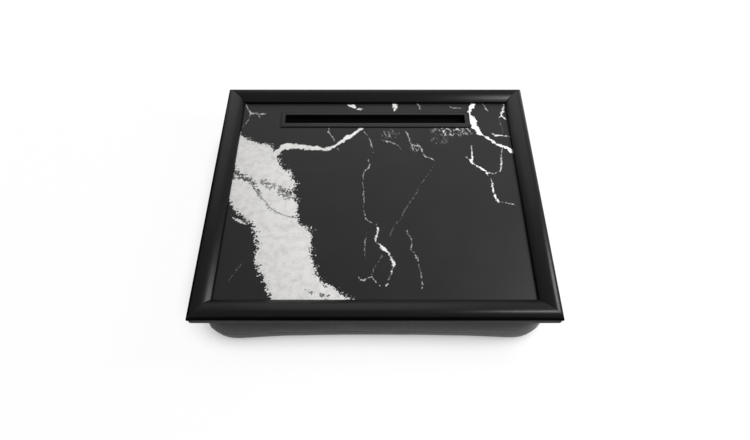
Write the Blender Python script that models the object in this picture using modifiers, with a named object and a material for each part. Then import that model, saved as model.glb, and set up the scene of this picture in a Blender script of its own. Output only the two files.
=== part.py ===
"""Lap tray: a moulded frame on a laminated board, with a slot insert, over a bead-filled cushion.

Lengths are in metres. X is the tray's width, Y runs from front to back, Z is up, and the
origin lies on the floor under the middle of the tray.
"""

import math

import bmesh
import bpy
from mathutils import Matrix, Vector

# The tray as a whole
TRAY_WIDTH = 0.440
TRAY_DEPTH = 0.390
BOARD_UNDERSIDE_HEIGHT = 0.062
FIT_GAP = 0.0003
CUT_OVERRUN = 0.003

# Base board, which shows as a thin strip under the frame
BOARD_THICKNESS = 0.006
BOARD_INSET = 0.0005
BOARD_CORNER_RADIUS = 0.004

# Frame moulding: a domed rail, highest near its outer edge
RAIL_WIDTH = 0.0265
RAIL_CROWN_HEIGHT = 0.0103
RAIL_CROWN_RUN = 0.0095
RAIL_SIDE_HEIGHT = 0.0015
RAIL_LIP_HEIGHT = 0.0042
RAIL_LIP_RADIUS = 0.0008

# Printed laminate on the board, inside the frame
LAMINATE_THICKNESS = 0.001

# Slot insert: a flanged trough that a tablet or phone stands in
SLOT_LENGTH = 0.262
SLOT_WIDTH = 0.017
SLOT_SETBACK = 0.033
INSERT_WALL = 0.0012
INSERT_FRONT_LIP = 0.0075
INSERT_BACK_LIP = 0.0045
INSERT_END_LIP = 0.0055
INSERT_FLANGE_HEIGHT = 0.0022
INSERT_FLANGE_RADIUS = 0.001
INSERT_EDGE_EASE = 0.0004
INSERT_DROP = 0.002

# Countersunk screws that hold the rails to the board from below
SCREW_LENGTH = 0.0135
SCREW_RADIUS = 0.00175
SCREW_HEAD_RADIUS = 0.0034
SCREW_HEAD_HEIGHT = 0.0022
SCREW_HEAD_RIM = 0.0004
SCREW_TIP_LENGTH = 0.0025
SCREW_RECESS_REACH = 0.0018
SCREW_RECESS_WIDTH = 0.0007
SCREW_RECESS_DEPTH = 0.0014
SCREW_EDGE_DISTANCE = 0.011
SCREW_SPACING_ALONG_WIDTH = 0.150
SCREW_SPACING_ALONG_DEPTH = 0.200

# Angled steel nails pressed across the mitres from below
NAIL_LEG = 0.006
NAIL_SHEET = 0.0008
NAIL_HEIGHT = 0.0065
NAIL_EDGE_DISTANCE = 0.010

# Hook tape under the board and loop tape on the cushion
TAPE_WIDTH = 0.025
TAPE_CORNER_RADIUS = 0.003
HOOK_THICKNESS = 0.0012
LOOP_THICKNESS = 0.0014
LONG_TAPE_LENGTH = 0.220
SHORT_TAPE_LENGTH = 0.140
FRONT_TAPE_SETBACK = 0.054
SIDE_TAPE_SETBACK = 0.052
TAPE_TO_TROUGH = 0.016

# Cushion: flat above and below, with full, rounded sides
CUSHION_INSET = 0.0055
CUSHION_CORNER_RADIUS = 0.040
CUSHION_ROLL = 0.034
CUSHION_SEAM_HEIGHT = 0.0245
CUSHION_DRAW_IN = 0.003
CUSHION_SQUARENESS = 2.8
COVER_THICKNESS = 0.001
BAG_THICKNESS = 0.0006
LAYER_GAP = 0.0004

# Zip in the back seam of the cover
ZIP_LENGTH = 0.240
ZIP_CHAIN_HEIGHT = 0.005
ZIP_CHAIN_CORE_HEIGHT = 0.0026
ZIP_CHAIN_THICKNESS = 0.002
ZIP_TOOTH_PITCH = 0.004
ZIP_TOOTH_LENGTH = 0.0024
ZIP_TAPE_HEIGHT = 0.009
ZIP_TAPE_THICKNESS = 0.0006
ZIP_STOP_LENGTH = 0.003
ZIP_STOP_HEIGHT = 0.0062
ZIP_OPENING_HEIGHT = 0.009
ZIP_OPENING_MARGIN = 0.002
SLIDER_LENGTH = 0.009
SLIDER_PLATE_THICKNESS = 0.0012
SLIDER_LIP_THICKNESS = 0.001
SLIDER_LIP_DEPTH = 0.0019
BRIDGE_HALF_SPAN = 0.0016
BRIDGE_CLEAR_HEIGHT = 0.0022
BRIDGE_THICKNESS = 0.0008
BRIDGE_WIDTH = 0.002
PULL_LENGTH = 0.022
PULL_WIDTH = 0.007
PULL_THICKNESS = 0.001
PULL_BAR_WIDTH = 0.0012
PULL_EYE_LENGTH = 0.0034
PULL_EYE_HEIGHT = 0.003
PULL_CORNER_RADIUS = 0.0015

# How finely round shapes are cut into flat faces
RAIL_ARC_STEPS = 8
LIP_ARC_STEPS = 3
CORNER_STEPS = 6
SIDE_STEPS = 6
ROLL_STEPS = 7
BAG_ROLL_STEPS = 5
SMALL_BEVEL_STEPS = 3
SCREW_SIDES = 16
SHARP_ANGLE = math.radians(35)
MERGE_DISTANCE = 0.00001

# Heights and half sizes that follow from the sizes above
BOARD_TOP = BOARD_UNDERSIDE_HEIGHT + BOARD_THICKNESS
DECK_LEVEL = BOARD_TOP + FIT_GAP
INNER_HALF_WIDTH = TRAY_WIDTH / 2 - RAIL_WIDTH
INNER_HALF_DEPTH = TRAY_DEPTH / 2 - RAIL_WIDTH
SLOT_CENTRE_Y = INNER_HALF_DEPTH - SLOT_SETBACK
FLANGE_CENTRE_Y = SLOT_CENTRE_Y + (INSERT_BACK_LIP - INSERT_FRONT_LIP) / 2
BACK_TAPE_Y = SLOT_CENTRE_Y - SLOT_WIDTH / 2 - INSERT_WALL - TAPE_TO_TROUGH - TAPE_WIDTH / 2
FRONT_TAPE_Y = FRONT_TAPE_SETBACK - TRAY_DEPTH / 2 + TAPE_WIDTH / 2
SIDE_TAPE_X = TRAY_WIDTH / 2 - SIDE_TAPE_SETBACK - TAPE_WIDTH / 2
SIDE_TAPE_Y = (FRONT_TAPE_Y + BACK_TAPE_Y) / 2
HOOK_TOP = BOARD_UNDERSIDE_HEIGHT - FIT_GAP
LOOP_TOP = HOOK_TOP - HOOK_THICKNESS - FIT_GAP
CUSHION_HEIGHT = LOOP_TOP - LOOP_THICKNESS - FIT_GAP
CUSHION_HALF_WIDTH = TRAY_WIDTH / 2 - BOARD_INSET - CUSHION_INSET
CUSHION_HALF_DEPTH = TRAY_DEPTH / 2 - BOARD_INSET - CUSHION_INSET
BAG_OFFSET = COVER_THICKNESS + LAYER_GAP
BEADS_OFFSET = BAG_OFFSET + BAG_THICKNESS + LAYER_GAP

# Linear colours, roughness and metallic share of each finish
FINISHES = {
    "black_foil": ((0.012, 0.012, 0.012), 0.38, 0.0),
    "dark_board_edge": ((0.035, 0.035, 0.036), 0.55, 0.0),
    "black_marble_laminate": ((0.026, 0.025, 0.026), 0.42, 0.0),
    "black_plastic": ((0.020, 0.020, 0.020), 0.45, 0.0),
    "zinc_steel": ((0.60, 0.60, 0.58), 0.35, 1.0),
    "black_hook_tape": ((0.010, 0.010, 0.010), 0.8, 0.0),
    "black_loop_tape": ((0.014, 0.014, 0.015), 0.95, 0.0),
    "charcoal_cloth": ((0.060, 0.060, 0.062), 0.9, 0.0),
    "white_liner": ((0.70, 0.69, 0.66), 0.9, 0.0),
    "white_beads": ((0.85, 0.85, 0.84), 0.8, 0.0),
    "black_zip_tape": ((0.012, 0.012, 0.013), 0.85, 0.0),
    "gunmetal": ((0.12, 0.12, 0.125), 0.35, 1.0),
}


def clear_scene():
    for old in list(bpy.data.objects):
        bpy.data.objects.remove(old)


def new_collection(name):
    made = bpy.data.collections.new(name)
    bpy.context.scene.collection.children.link(made)
    return made


def make_finish(name):
    """A Principled material from the table of finishes."""
    colour, roughness, metallic = FINISHES[name]
    made = bpy.data.materials.new(name)
    made.use_nodes = True
    shader = made.node_tree.nodes["Principled BSDF"]
    shader.inputs["Base Color"].default_value = (*colour, 1.0)
    shader.inputs["Roughness"].default_value = roughness
    shader.inputs["Metallic"].default_value = metallic
    return made


class Workshop:
    """The collections and finishes that every piece uses."""

    def __init__(self):
        self.parts = new_collection("lap_tray")
        self.cutters = new_collection("cutters")
        self.finishes = {name: make_finish(name) for name in FINISHES}

    def part(self, name, mesh, finish, place=(0, 0, 0), turn=0.0):
        """A named piece of the tray, with its place and its turn about Z."""
        mesh.shade_smooth()
        mesh.set_sharp_from_angle(angle=SHARP_ANGLE)
        mesh.materials.clear()
        mesh.materials.append(self.finishes[finish])
        made = bpy.data.objects.new(name, mesh)
        made.location = place
        made.rotation_euler = (0, 0, turn)
        self.parts.objects.link(made)
        return made

    def cutter(self, name, mesh, place=(0, 0, 0)):
        made = bpy.data.objects.new(name, mesh)
        made.location = place
        made.display_type = "WIRE"
        made.hide_render = True
        self.cutters.objects.link(made)
        return made

    def joint(self, name, place):
        """An empty on a joint's axis, which carries what moves with it."""
        made = bpy.data.objects.new(name, None)
        made.location = place
        self.parts.objects.link(made)
        return made


def carry(joint, *pieces):
    """Parents pieces to a joint's empty and leaves them where they are."""
    for piece in pieces:
        piece.parent = joint
        piece.matrix_parent_inverse = Matrix.Translation(-Vector(joint.location))


def to_mesh(name, bm):
    bmesh.ops.recalc_face_normals(bm, faces=bm.faces)
    mesh = bpy.data.meshes.new(name)
    bm.to_mesh(mesh)
    bm.free()
    return mesh


def box(size, centre=(0, 0, 0)):
    bm = bmesh.new()
    bmesh.ops.create_cube(bm, size=1)
    bmesh.ops.scale(bm, vec=size, verts=bm.verts)
    bmesh.ops.translate(bm, vec=centre, verts=bm.verts)
    return bm


def edges_along(bm, axis):
    """Edges of a box that run along X (0), Y (1) or Z (2)."""
    return [e for e in bm.edges if abs((e.verts[0].co - e.verts[1].co).normalized()[axis]) > 0.99]


def round_edges(bm, edges, radius, steps=SMALL_BEVEL_STEPS):
    bmesh.ops.bevel(bm, geom=edges, offset=radius, segments=steps, profile=0.5, affect="EDGES")


def plate(size, centre, radius):
    """A flat box whose four upright corners are rounded."""
    bm = box(size, centre)
    round_edges(bm, edges_along(bm, 2), radius)
    return bm


def prism(outline, start, end, axis=2):
    """A flat outline made solid between two levels of one axis. Its pairs are the other two axes."""
    bm = bmesh.new()
    corners = []
    for pair in outline:
        point = list(pair)
        point.insert(axis, start)
        corners.append(bm.verts.new(point))
    face = bm.faces.new(corners)
    grown = bmesh.ops.extrude_face_region(bm, geom=[face])["geom"]
    for vert in grown:
        if isinstance(vert, bmesh.types.BMVert):
            vert.co[axis] = end
    return bm


def cut(piece, cutter, operation="DIFFERENCE"):
    change = piece.modifiers.new(cutter.name, "BOOLEAN")
    change.operation = operation
    change.solver = "EXACT"
    change.object = cutter


def settled_mesh(name, template):
    """The template's mesh with its modifiers worked out. The template is then removed."""
    graph = bpy.context.evaluated_depsgraph_get()
    mesh = bpy.data.meshes.new_from_object(template.evaluated_get(graph))
    mesh.name = name
    bpy.data.objects.remove(template)
    return mesh


def turned_template(shop, name, profile):
    """A shape turned about Z from a profile of (radius, height) that runs from top to bottom."""
    bm = bmesh.new()
    points = [bm.verts.new((radius, 0, height)) for radius, height in profile]
    for upper, lower in zip(points, points[1:]):
        bm.edges.new((upper, lower))
    mesh = bpy.data.meshes.new(name)
    bm.to_mesh(mesh)
    bm.free()
    template = shop.cutter(name, mesh)
    turn = template.modifiers.new("turn", "SCREW")
    turn.steps = SCREW_SIDES
    turn.render_steps = SCREW_SIDES
    turn.use_merge_vertices = True
    turn.merge_threshold = MERGE_DISTANCE
    return template


def several(name, mesh, places):
    """One mesh with a copy of another at each place, turned as the place says."""
    bm = bmesh.new()
    for place, turn in places:
        start = len(bm.verts)
        bm.from_mesh(mesh)
        bm.verts.ensure_lookup_table()
        matrix = Matrix.Translation(place) @ Matrix.Rotation(turn, 4, "Z")
        bmesh.ops.transform(bm, matrix=matrix, verts=bm.verts[start:])
    made = bpy.data.meshes.new(name)
    bm.to_mesh(made)
    bm.free()
    return made


def screw_places():
    """Where the screws stand, by name: three in each long rail and two in each short one."""
    across = TRAY_WIDTH / 2 - SCREW_EDGE_DISTANCE
    along = TRAY_DEPTH / 2 - SCREW_EDGE_DISTANCE
    places = {}
    for rail, y in (("front", -along), ("back", along)):
        for label, step in (("left", -1), ("middle", 0), ("right", 1)):
            x = step * SCREW_SPACING_ALONG_WIDTH
            places[f"{rail}_{label}"] = Vector((x, y, BOARD_UNDERSIDE_HEIGHT))
    for rail, x in (("left", -across), ("right", across)):
        for label, side in (("front", -1), ("rear", 1)):
            y = side * SCREW_SPACING_ALONG_DEPTH / 2
            places[f"{rail}_{label}"] = Vector((x, y, BOARD_UNDERSIDE_HEIGHT))
    return places


def make_screws(shop):
    """Countersunk screws driven up through the board, and the cutter of their holes."""
    seat = FIT_GAP
    profile = [
        (0, SCREW_LENGTH),
        (SCREW_RADIUS, SCREW_LENGTH - SCREW_TIP_LENGTH),
        (SCREW_RADIUS, seat + SCREW_HEAD_HEIGHT),
        (SCREW_HEAD_RADIUS, seat + SCREW_HEAD_RIM),
        (SCREW_HEAD_RADIUS, seat),
        (0, seat),
    ]
    template = turned_template(shop, "screw_template", profile)
    recess_top = seat + SCREW_RECESS_DEPTH
    recess_centre = (0, 0, (recess_top - CUT_OVERRUN) / 2)
    recess_height = recess_top + CUT_OVERRUN
    for label, size in (
        ("recess_x", (2 * SCREW_RECESS_REACH, SCREW_RECESS_WIDTH, recess_height)),
        ("recess_y", (SCREW_RECESS_WIDTH, 2 * SCREW_RECESS_REACH, recess_height)),
    ):
        cut(template, shop.cutter(label, to_mesh(label, box(size, recess_centre))))
    mesh = settled_mesh("board_screw", template)
    screws = [
        shop.part(f"board_screw_{name}", mesh, "zinc_steel", place)
        for name, place in screw_places().items()
    ]

    hole_profile = [
        (0, SCREW_LENGTH + FIT_GAP),
        (SCREW_RADIUS + FIT_GAP, SCREW_LENGTH + FIT_GAP),
        (SCREW_RADIUS + FIT_GAP, seat + SCREW_HEAD_HEIGHT + FIT_GAP),
        (SCREW_HEAD_RADIUS + FIT_GAP, seat + SCREW_HEAD_RIM + FIT_GAP),
        (SCREW_HEAD_RADIUS + FIT_GAP, -CUT_OVERRUN),
        (0, -CUT_OVERRUN),
    ]
    hole = settled_mesh("screw_hole", turned_template(shop, "screw_hole_template", hole_profile))
    places = [(place, 0.0) for place in screw_places().values()]
    return screws, shop.cutter("screw_holes", several("screw_holes", hole, places))


def nail_outline(leg, sheet, grow=0.0):
    """A right angle of sheet steel seen from above, with its outer corner at the origin."""
    low, far, inner = -grow, leg + grow, sheet + grow
    return [(low, low), (far, low), (far, inner), (inner, inner), (inner, far), (low, far)]


def nail_places():
    """The mitre nails by corner: the outer corner of the angle, and its turn about Z."""
    x = TRAY_WIDTH / 2 - NAIL_EDGE_DISTANCE
    y = TRAY_DEPTH / 2 - NAIL_EDGE_DISTANCE
    return {
        "front_left": (Vector((-x, -y, DECK_LEVEL)), 0.0),
        "front_right": (Vector((x, -y, DECK_LEVEL)), math.pi / 2),
        "back_right": (Vector((x, y, DECK_LEVEL)), math.pi),
        "back_left": (Vector((-x, y, DECK_LEVEL)), -math.pi / 2),
    }


def make_mitre_nails(shop):
    """One nail in each mitre, and the cutter of the nails' slots."""
    outline = nail_outline(NAIL_LEG, NAIL_SHEET)
    mesh = to_mesh("mitre_nail", prism(outline, 0, NAIL_HEIGHT))
    nails = [
        shop.part(f"mitre_nail_{corner}", mesh, "zinc_steel", place, turn)
        for corner, (place, turn) in nail_places().items()
    ]
    grown = nail_outline(NAIL_LEG, NAIL_SHEET, FIT_GAP)
    slot = to_mesh("nail_slot", prism(grown, -CUT_OVERRUN, NAIL_HEIGHT + FIT_GAP))
    slots = several("nail_slots", slot, nail_places().values())
    return nails, shop.cutter("nail_slots", slots)


def rail_profile():
    """The moulding's section as (inward, up) from its outer bottom edge."""
    points = [(0, 0)]
    rise = RAIL_CROWN_HEIGHT - RAIL_SIDE_HEIGHT
    for step in range(RAIL_ARC_STEPS + 1):
        angle = math.pi / 2 * step / RAIL_ARC_STEPS
        inward = RAIL_CROWN_RUN * (1 - math.cos(angle))
        points.append((inward, RAIL_SIDE_HEIGHT + rise * math.sin(angle)))
    drop = RAIL_CROWN_HEIGHT - RAIL_LIP_HEIGHT
    slope = math.atan2(2 * drop, RAIL_WIDTH - RAIL_CROWN_RUN)
    slope_end = RAIL_WIDTH - RAIL_LIP_RADIUS * (1 - math.sin(slope))
    for step in range(1, RAIL_ARC_STEPS + 1):
        share = step / RAIL_ARC_STEPS
        inward = RAIL_CROWN_RUN + (slope_end - RAIL_CROWN_RUN) * share
        points.append((inward, RAIL_CROWN_HEIGHT - drop * share**2))
    centre = (RAIL_WIDTH - RAIL_LIP_RADIUS, RAIL_LIP_HEIGHT - RAIL_LIP_RADIUS * math.cos(slope))
    for step in range(1, LIP_ARC_STEPS + 1):
        angle = (math.pi / 2 - slope) * (1 - step / LIP_ARC_STEPS)
        inward = centre[0] + RAIL_LIP_RADIUS * math.cos(angle)
        points.append((inward, centre[1] + RAIL_LIP_RADIUS * math.sin(angle)))
    points.append((RAIL_WIDTH, 0))
    return points


def rail_mesh(name, length, spread):
    """A mitred rail lying at the front of a frame of this length and of this spread, front to back."""
    mitre_gap = FIT_GAP / math.sqrt(2)
    bm = bmesh.new()
    corners = []
    for inward, up in rail_profile():
        x = -(length / 2 - inward - mitre_gap)
        corners.append(bm.verts.new((x, inward - spread / 2, up)))
    end = bm.faces.new(corners)
    grown = bmesh.ops.extrude_face_region(bm, geom=[end])["geom"]
    for vert in grown:
        if isinstance(vert, bmesh.types.BMVert):
            vert.co.x = -vert.co.x
    return to_mesh(name, bm)


def make_rails(shop, screw_holes, nail_slots):
    rails = []
    for side, length, spread, turn in (
        ("front", TRAY_WIDTH, TRAY_DEPTH, 0.0),
        ("right", TRAY_DEPTH, TRAY_WIDTH, math.pi / 2),
        ("back", TRAY_WIDTH, TRAY_DEPTH, math.pi),
        ("left", TRAY_DEPTH, TRAY_WIDTH, -math.pi / 2),
    ):
        name = f"frame_rail_{side}"
        mesh = rail_mesh(name, length, spread)
        rail = shop.part(name, mesh, "black_foil", (0, 0, DECK_LEVEL), turn)
        cut(rail, screw_holes)
        cut(rail, nail_slots)
        rails.append(rail)
    return rails


def make_base_board(shop, screw_holes):
    width = TRAY_WIDTH - 2 * BOARD_INSET
    depth = TRAY_DEPTH - 2 * BOARD_INSET
    centre = (0, 0, BOARD_UNDERSIDE_HEIGHT + BOARD_THICKNESS / 2)
    bm = plate((width, depth, BOARD_THICKNESS), centre, BOARD_CORNER_RADIUS)
    board = shop.part("base_board", to_mesh("base_board", bm), "dark_board_edge")
    opening = (
        SLOT_LENGTH + 2 * (INSERT_WALL + FIT_GAP),
        SLOT_WIDTH + 2 * (INSERT_WALL + FIT_GAP),
        BOARD_THICKNESS + 2 * CUT_OVERRUN,
    )
    middle = (0, SLOT_CENTRE_Y, centre[2])
    cut(board, shop.cutter("board_slot", to_mesh("board_slot", box(opening, middle))))
    cut(board, screw_holes)
    return board


def flange_plan():
    """The flange's length and width, seen from above."""
    return SLOT_LENGTH + 2 * INSERT_END_LIP, SLOT_WIDTH + INSERT_FRONT_LIP + INSERT_BACK_LIP


def make_laminate(shop):
    """The printed sheet, which fills the frame and is cut out round the insert's flange."""
    size = (
        2 * (INNER_HALF_WIDTH - FIT_GAP),
        2 * (INNER_HALF_DEPTH - FIT_GAP),
        LAMINATE_THICKNESS,
    )
    level = DECK_LEVEL + LAMINATE_THICKNESS / 2
    mesh = to_mesh("marble_laminate", box(size, (0, 0, level)))
    sheet = shop.part("marble_laminate", mesh, "black_marble_laminate")
    length, width = flange_plan()
    opening = (
        length + 2 * FIT_GAP,
        width + 2 * FIT_GAP,
        LAMINATE_THICKNESS + 2 * CUT_OVERRUN,
    )
    corner = INSERT_FLANGE_RADIUS + FIT_GAP
    bm = plate(opening, (0, FLANGE_CENTRE_Y, level), corner)
    cut(sheet, shop.cutter("laminate_slot", to_mesh("laminate_slot", bm)))
    return sheet


def make_slot_insert(shop):
    """A moulded trough with a flange that stands on the board."""
    flange_centre = (0, FLANGE_CENTRE_Y, DECK_LEVEL + INSERT_FLANGE_HEIGHT / 2)
    bm = plate((*flange_plan(), INSERT_FLANGE_HEIGHT), flange_centre, INSERT_FLANGE_RADIUS)
    top = [e for e in bm.edges if all(v.co.z > flange_centre[2] for v in e.verts)]
    round_edges(bm, top, INSERT_EDGE_EASE, 1)
    insert = shop.part("slot_insert", to_mesh("slot_insert", bm), "black_plastic")

    bottom = BOARD_UNDERSIDE_HEIGHT - INSERT_DROP
    trough_top = DECK_LEVEL + INSERT_FLANGE_HEIGHT / 2
    trough_size = (
        SLOT_LENGTH + 2 * INSERT_WALL,
        SLOT_WIDTH + 2 * INSERT_WALL,
        trough_top - bottom,
    )
    trough_centre = (0, SLOT_CENTRE_Y, (trough_top + bottom) / 2)
    trough = shop.cutter("trough", to_mesh("trough", box(trough_size, trough_centre)))
    cut(insert, trough, "UNION")

    floor = bottom + INSERT_WALL
    pocket_top = DECK_LEVEL + INSERT_FLANGE_HEIGHT + CUT_OVERRUN
    pocket_size = (SLOT_LENGTH, SLOT_WIDTH, pocket_top - floor)
    pocket_centre = (0, SLOT_CENTRE_Y, (pocket_top + floor) / 2)
    cut(insert, shop.cutter("pocket", to_mesh("pocket", box(pocket_size, pocket_centre))))
    return insert


def tape_places():
    """Each tape's middle and its size along X and Y."""
    return {
        "front": (0, FRONT_TAPE_Y, LONG_TAPE_LENGTH, TAPE_WIDTH),
        "back": (0, BACK_TAPE_Y, LONG_TAPE_LENGTH, TAPE_WIDTH),
        "left": (-SIDE_TAPE_X, SIDE_TAPE_Y, TAPE_WIDTH, SHORT_TAPE_LENGTH),
        "right": (SIDE_TAPE_X, SIDE_TAPE_Y, TAPE_WIDTH, SHORT_TAPE_LENGTH),
    }


def make_tapes(shop, kind, top, thickness, finish):
    tapes = []
    for side, (x, y, length, width) in tape_places().items():
        name = f"{kind}_tape_{side}"
        centre = (x, y, top - thickness / 2)
        bm = plate((length, width, thickness), centre, TAPE_CORNER_RADIUS)
        tapes.append(shop.part(name, to_mesh(name, bm), finish))
    return tapes


def cushion_outline(inset, back_relief=0.0):
    """The cushion seen from above: its front and sides are drawn in, and its back is straight."""
    half_width = CUSHION_HALF_WIDTH - inset
    half_depth = CUSHION_HALF_DEPTH - inset
    radius = CUSHION_CORNER_RADIUS
    points = []
    for quarter, (side_x, side_y) in enumerate(((1, 1), (-1, 1), (-1, -1), (1, -1))):
        centre = Vector((side_x * (half_width - radius), side_y * (half_depth - radius)))
        for step in range(CORNER_STEPS + 1):
            angle = math.pi / 2 * (quarter + step / CORNER_STEPS)
            points.append(centre + radius * Vector((math.cos(angle), math.sin(angle))))
        next_x, next_y = ((-1, 1), (-1, -1), (1, -1), (1, 1))[quarter]
        next_centre = Vector((next_x * (half_width - radius), next_y * (half_depth - radius)))
        outward = radius * Vector((math.cos(angle), math.sin(angle)))
        for step in range(1, SIDE_STEPS):
            points.append(outward + centre.lerp(next_centre, step / SIDE_STEPS))
    shaped = []
    for x, y in points:
        pull_x = CUSHION_DRAW_IN * (1 - (y / half_depth) ** 2) * x / half_width
        pull_y = CUSHION_DRAW_IN * (1 - (x / half_width) ** 2) * min(y, 0) / half_depth
        give = back_relief * max(y, 0) / half_depth
        shaped.append((x - pull_x, y - pull_y - give))
    return shaped


def roll_point(angle, offset):
    """Shares of the roll: how far in from the widest line, and how far up or down to the flat."""
    power = 2 / CUSHION_SQUARENESS
    inset = CUSHION_ROLL - (CUSHION_ROLL - offset) * max(math.cos(angle), 0) ** power
    return inset, math.sin(angle) ** power


def side_inset(rise, half_height):
    """How far the cushion's side has curved in at a height above or below its widest line."""
    share = (1 - (rise / half_height) ** CUSHION_SQUARENESS) ** (1 / CUSHION_SQUARENESS)
    return CUSHION_ROLL * (1 - share)


def bowl(seam, flat, offset, steps, back_relief=0.0):
    """Half of a cushion skin, from its widest line at the seam to the flat that closes it."""
    bm = bmesh.new()
    loops = []
    for step in range(steps + 1):
        inset, share = roll_point(math.pi / 2 * step / steps, offset)
        level = seam + (flat - seam) * share
        ring = [bm.verts.new((x, y, level)) for x, y in cushion_outline(inset, back_relief)]
        loops.append([bm.edges.new(pair) for pair in zip(ring, ring[1:] + ring[:1])])
    for wider, narrower in zip(loops, loops[1:]):
        bmesh.ops.bridge_loops(bm, edges=wider + narrower)
    bmesh.ops.edgeloop_fill(bm, edges=loops[-1])
    return bm


def skin(shop, name, bm, thickness, finish):
    """An open bowl given its thickness on the inside."""
    piece = shop.part(name, to_mesh(name, bm), finish)
    wall = piece.modifiers.new("cloth", "SOLIDIFY")
    wall.thickness = thickness
    wall.offset = -1
    wall.use_even_offset = True
    return piece


def zip_front():
    """Y of the zip tapes' outer face, which clears the cover where the tapes are sewn to it."""
    far_edge = FIT_GAP / 2 + ZIP_TAPE_HEIGHT
    curve = side_inset(far_edge, CUSHION_SEAM_HEIGHT)
    return CUSHION_HALF_DEPTH - curve - COVER_THICKNESS - FIT_GAP


def make_covers(shop):
    """The upper and lower cloths of the cover, with the opening for the zip in the back seam."""
    lower_bowl = bowl(CUSHION_SEAM_HEIGHT - FIT_GAP / 2, 0, 0, ROLL_STEPS)
    upper_bowl = bowl(CUSHION_SEAM_HEIGHT + FIT_GAP / 2, CUSHION_HEIGHT, 0, ROLL_STEPS)
    lower = skin(shop, "cover_bottom_cloth", lower_bowl, COVER_THICKNESS, "charcoal_cloth")
    upper = skin(shop, "cover_top_cloth", upper_bowl, COVER_THICKNESS, "charcoal_cloth")
    opening = (
        ZIP_LENGTH + 2 * (ZIP_STOP_LENGTH + FIT_GAP + ZIP_OPENING_MARGIN),
        2 * (COVER_THICKNESS + CUT_OVERRUN),
        ZIP_OPENING_HEIGHT,
    )
    centre = (0, CUSHION_HALF_DEPTH - COVER_THICKNESS, CUSHION_SEAM_HEIGHT)
    gap = shop.cutter("zip_opening", to_mesh("zip_opening", box(opening, centre)))
    cut(lower, gap)
    cut(upper, gap)
    return [lower, upper]


def make_filling(shop):
    """The inner bag, in two halves sewn at the widest line, and the beads that it holds."""
    behind_zip = CUSHION_HALF_DEPTH - zip_front() + ZIP_TAPE_THICKNESS + FIT_GAP
    relief = behind_zip - BAG_OFFSET
    low_seam = CUSHION_SEAM_HEIGHT - FIT_GAP / 2
    high_seam = CUSHION_SEAM_HEIGHT + FIT_GAP / 2
    low_bowl = bowl(low_seam, BAG_OFFSET, BAG_OFFSET, BAG_ROLL_STEPS, relief)
    high_bowl = bowl(high_seam, CUSHION_HEIGHT - BAG_OFFSET, BAG_OFFSET, BAG_ROLL_STEPS, relief)
    bags = [
        skin(shop, "bead_bag_lower", low_bowl, BAG_THICKNESS, "white_liner"),
        skin(shop, "bead_bag_upper", high_bowl, BAG_THICKNESS, "white_liner"),
    ]

    beads = bmesh.new()
    for flat in (BEADS_OFFSET, CUSHION_HEIGHT - BEADS_OFFSET):
        half = bowl(CUSHION_SEAM_HEIGHT, flat, BEADS_OFFSET, BAG_ROLL_STEPS, relief)
        half_mesh = to_mesh("bead_half", half)
        beads.from_mesh(half_mesh)
        bpy.data.meshes.remove(half_mesh)
    bmesh.ops.remove_doubles(beads, verts=beads.verts, dist=MERGE_DISTANCE)
    filling = shop.part("bead_filling", to_mesh("bead_filling", beads), "white_beads")
    return [*bags, filling]


def chain_outline():
    """The closed zip chain seen from behind the cushion: a core with teeth standing out above and below."""
    count = int(ZIP_LENGTH / ZIP_TOOTH_PITCH)
    core = ZIP_CHAIN_CORE_HEIGHT / 2
    tip = ZIP_CHAIN_HEIGHT / 2
    start = -count * ZIP_TOOTH_PITCH / 2
    space = (ZIP_TOOTH_PITCH - ZIP_TOOTH_LENGTH) / 2
    lower = []
    for tooth in range(count):
        left = start + tooth * ZIP_TOOTH_PITCH + space
        right = left + ZIP_TOOTH_LENGTH
        lower += [(left, -core), (left, -tip), (right, -tip), (right, -core)]
    upper = [(x, -z) for x, z in reversed(lower)]
    return [(start, -core), *lower, (-start, -core), (-start, core), *upper, (start, core)]


def make_zip(shop):
    """Tapes, chain and end stops, which stay with the cushion."""
    front = zip_front()
    pieces = []
    tape_length = ZIP_LENGTH + 2 * (ZIP_STOP_LENGTH + FIT_GAP)
    for label, side in (("upper", 1), ("lower", -1)):
        level = CUSHION_SEAM_HEIGHT + side * (FIT_GAP + ZIP_TAPE_HEIGHT) / 2
        centre = (0, front - ZIP_TAPE_THICKNESS / 2, level)
        mesh = to_mesh("zip_tape", box((tape_length, ZIP_TAPE_THICKNESS, ZIP_TAPE_HEIGHT), centre))
        pieces.append(shop.part(f"zip_tape_{label}", mesh, "black_zip_tape"))

    chain_back = front + FIT_GAP
    chain_front = chain_back + ZIP_CHAIN_THICKNESS
    chain = prism(chain_outline(), chain_back, chain_front, axis=1)
    mesh = to_mesh("zip_chain", chain)
    pieces.append(shop.part("zip_chain", mesh, "black_plastic", (0, 0, CUSHION_SEAM_HEIGHT)))

    reach = ZIP_LENGTH / 2 + FIT_GAP + ZIP_STOP_LENGTH / 2
    stop_size = (ZIP_STOP_LENGTH, ZIP_CHAIN_THICKNESS, ZIP_STOP_HEIGHT)
    stop_mesh = to_mesh("zip_stop", box(stop_size))
    for label, side in (("left", -1), ("right", 1)):
        place = (side * reach, chain_back + ZIP_CHAIN_THICKNESS / 2, CUSHION_SEAM_HEIGHT)
        pieces.append(shop.part(f"zip_stop_{label}", stop_mesh, "gunmetal", place))
    return pieces


def slider_face():
    """Y of the slider's outer face."""
    return zip_front() + 2 * FIT_GAP + ZIP_CHAIN_THICKNESS + SLIDER_PLATE_THICKNESS


def slider_place():
    """The slider at rest, at the left end of the chain."""
    left = -ZIP_LENGTH / 2 + SLIDER_LENGTH / 2
    return Vector((left, slider_face(), CUSHION_SEAM_HEIGHT))


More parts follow.
